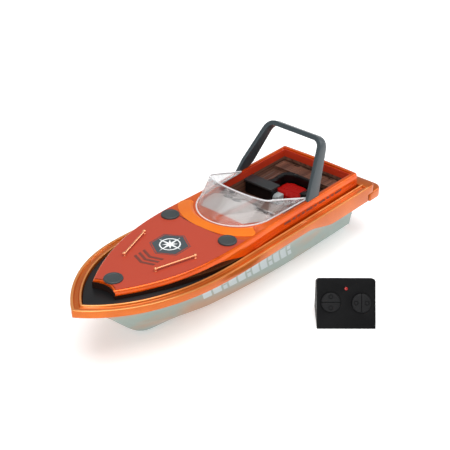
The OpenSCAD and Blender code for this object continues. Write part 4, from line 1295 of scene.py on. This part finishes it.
def flare_bar(x, width, z0, z1, side):
    """One slanted bar that lies on the flare between two heights."""
    rows = []
    for i in range(7):
        z = z0 + (z1 - z0) * i / 6
        stations = [x + BAR_LEAN * (z - z0) + width * k / 6 for k in range(7)]
        rows.append([(sx, side * (flare_y(sx, z) + 0.12), z) for sx in stations]
                    + [(sx, side * (flare_y(sx, z) - 0.1), z) for sx in reversed(stations)])
    return loft(rows)


bars, x = [], BAR_START
for k, width in enumerate((4.4, 7, 7, 4.4, 8, 8, 4.4, 8.6, 8.6, 4.4, 9, 9)):
    low = BAR_LOW + 0.012 * (x - BAR_START)
    # Every third bar is split in two
    parts = ((0, BAR_HIGH),) if k % 3 else ((0, 5.4), (7.4, BAR_HIGH))
    bars += [flare_bar(x + BAR_LEAN * z0, width, low + z0, low + z1, side)
             for z0, z1 in parts for side in (1, -1)]
    x += width + 2.2
new_piece("hull_flash", *joined(*bars), flash_ink, "boat", slot="translucent_hull", smooth_angle=60)

# %% [markdown]
# ## Propellers, nuts and the drive
# The propellers are moulded nylon with three blades, each twisted like a real screw: steep near
# the hub and flatter at the tip. A blade is a loft over sections from root to tip, thick in the
# middle and thin at its edges.

# %% Twisted blades
SHAFT_Z, SHAFT_Y, PROP_X = 14, 17, -160
PROP_R, ROOT_R, BLADE_REACH = 10.9, 2.2, 3.85


def blade(hand):
    """One blade of a propeller that turns either way."""
    rows = []
    for i in range(13):
        f = i / 12
        r = ROOT_R + (PROP_R - ROOT_R) * f
        chord = 8.4 * math.sin(math.pi * min(1, 0.24 + 0.7 * f)) ** 0.6 * (1 if f < 1 else 0.3)
        pitch = math.radians(62 - 30 * f)
        thick = 0.75 - 0.35 * f
        ring = []
        for k in range(16):
            a = math.tau * k / 16
            across, through = 0.5 * chord * math.cos(a), thick * math.sin(a)
            x = across * math.sin(pitch) + through * math.cos(pitch)
            y = hand * (across * math.cos(pitch) - through * math.sin(pitch))
            z = math.sqrt(max(0.04, r * r - y * y))
            ring.append((max(-BLADE_REACH, min(BLADE_REACH, x)) + PROP_X, y, z))
        rows.append(ring)
    return loft(rows)


hub_profile = [(0, -3.9), (2.0, -3.9), (2.5, -3.5), (2.9, -2.2), (2.9, 3.6), (2.6, 4), (0, 4)]
ALONG_X = Matrix.Rotation(math.radians(90), 4, "Y")
for side, label in ((1, "port"), (-1, "stbd")):
    place = at(0, side * SHAFT_Y, SHAFT_Z)
    shapes = [moved(lathe(hub_profile, 36), place @ at(PROP_X, 0, 0) @ ALONG_X)]
    shapes += [moved(blade(side), place @ Matrix.Rotation(math.radians(120 * k), 4, "X"))
               for k in range(3)]
    new_piece(f"propeller_{label}_bladed", *joined(*shapes), prop_nylon, f"drive_{label}",
              f"propeller_{label}", 40)
    for part, width in (("prop_nut", 0.2), ("coupling", 0.35), ("prop_shaft", 0.15)):
        softened(f"{part}_{label}", width)

# %% [markdown]
# ## The small plain parts
# Everything else is a plain moulded, turned or stamped part whose CAD shape is already right. Each
# only gets its edges eased by the width that its process leaves: about 0.1 mm on sheet metal, and
# three to five tenths on moulded plastic.

# %% Ease the edges
EASED = {
    "hull_gasket": 0.1, "foredeck_tray": 0.25, "roll_arch": 0.9, "stern_tubes": 0.2, "motor_cans": 0.5,
    "motor_end_caps": 0.4, "motor_rotor_port": 0.2, "motor_rotor_stbd": 0.2, "motor_cradle": 0.4,
    "motor_clamp": 0.3, "clamp_screws": 0.15, "battery_tray": 0.4, "battery_cell": 0.6,
    "receiver_board": 0.12, "board_chips": 0.15, "board_screws": 0.12, "switch_body": 0.3,
    "switch_slider": 0.25, "charge_socket": 0.25, "charge_cover": 0.4, "water_contacts": 0.2,
    "deck_screws": 0.2, "hatch_hinge_pin": 0.15,
    "remote_front": 0.45, "remote_back": 0.45, "remote_battery_door": 0.3, "remote_board": 0.12,
    "remote_lamp": 0.35, "remote_cells": 0.4, "remote_contacts": 0.1,
    "button_ahead": 0.4, "button_astern": 0.4, "button_left": 0.4, "button_right": 0.4,
}
for node_name, width in EASED.items():
    angle = 55 if node_name == "roll_arch" else 40
    softened(node_name, width, None, angle, 3 if width > 0.35 else 2)
print("eased", len(EASED))
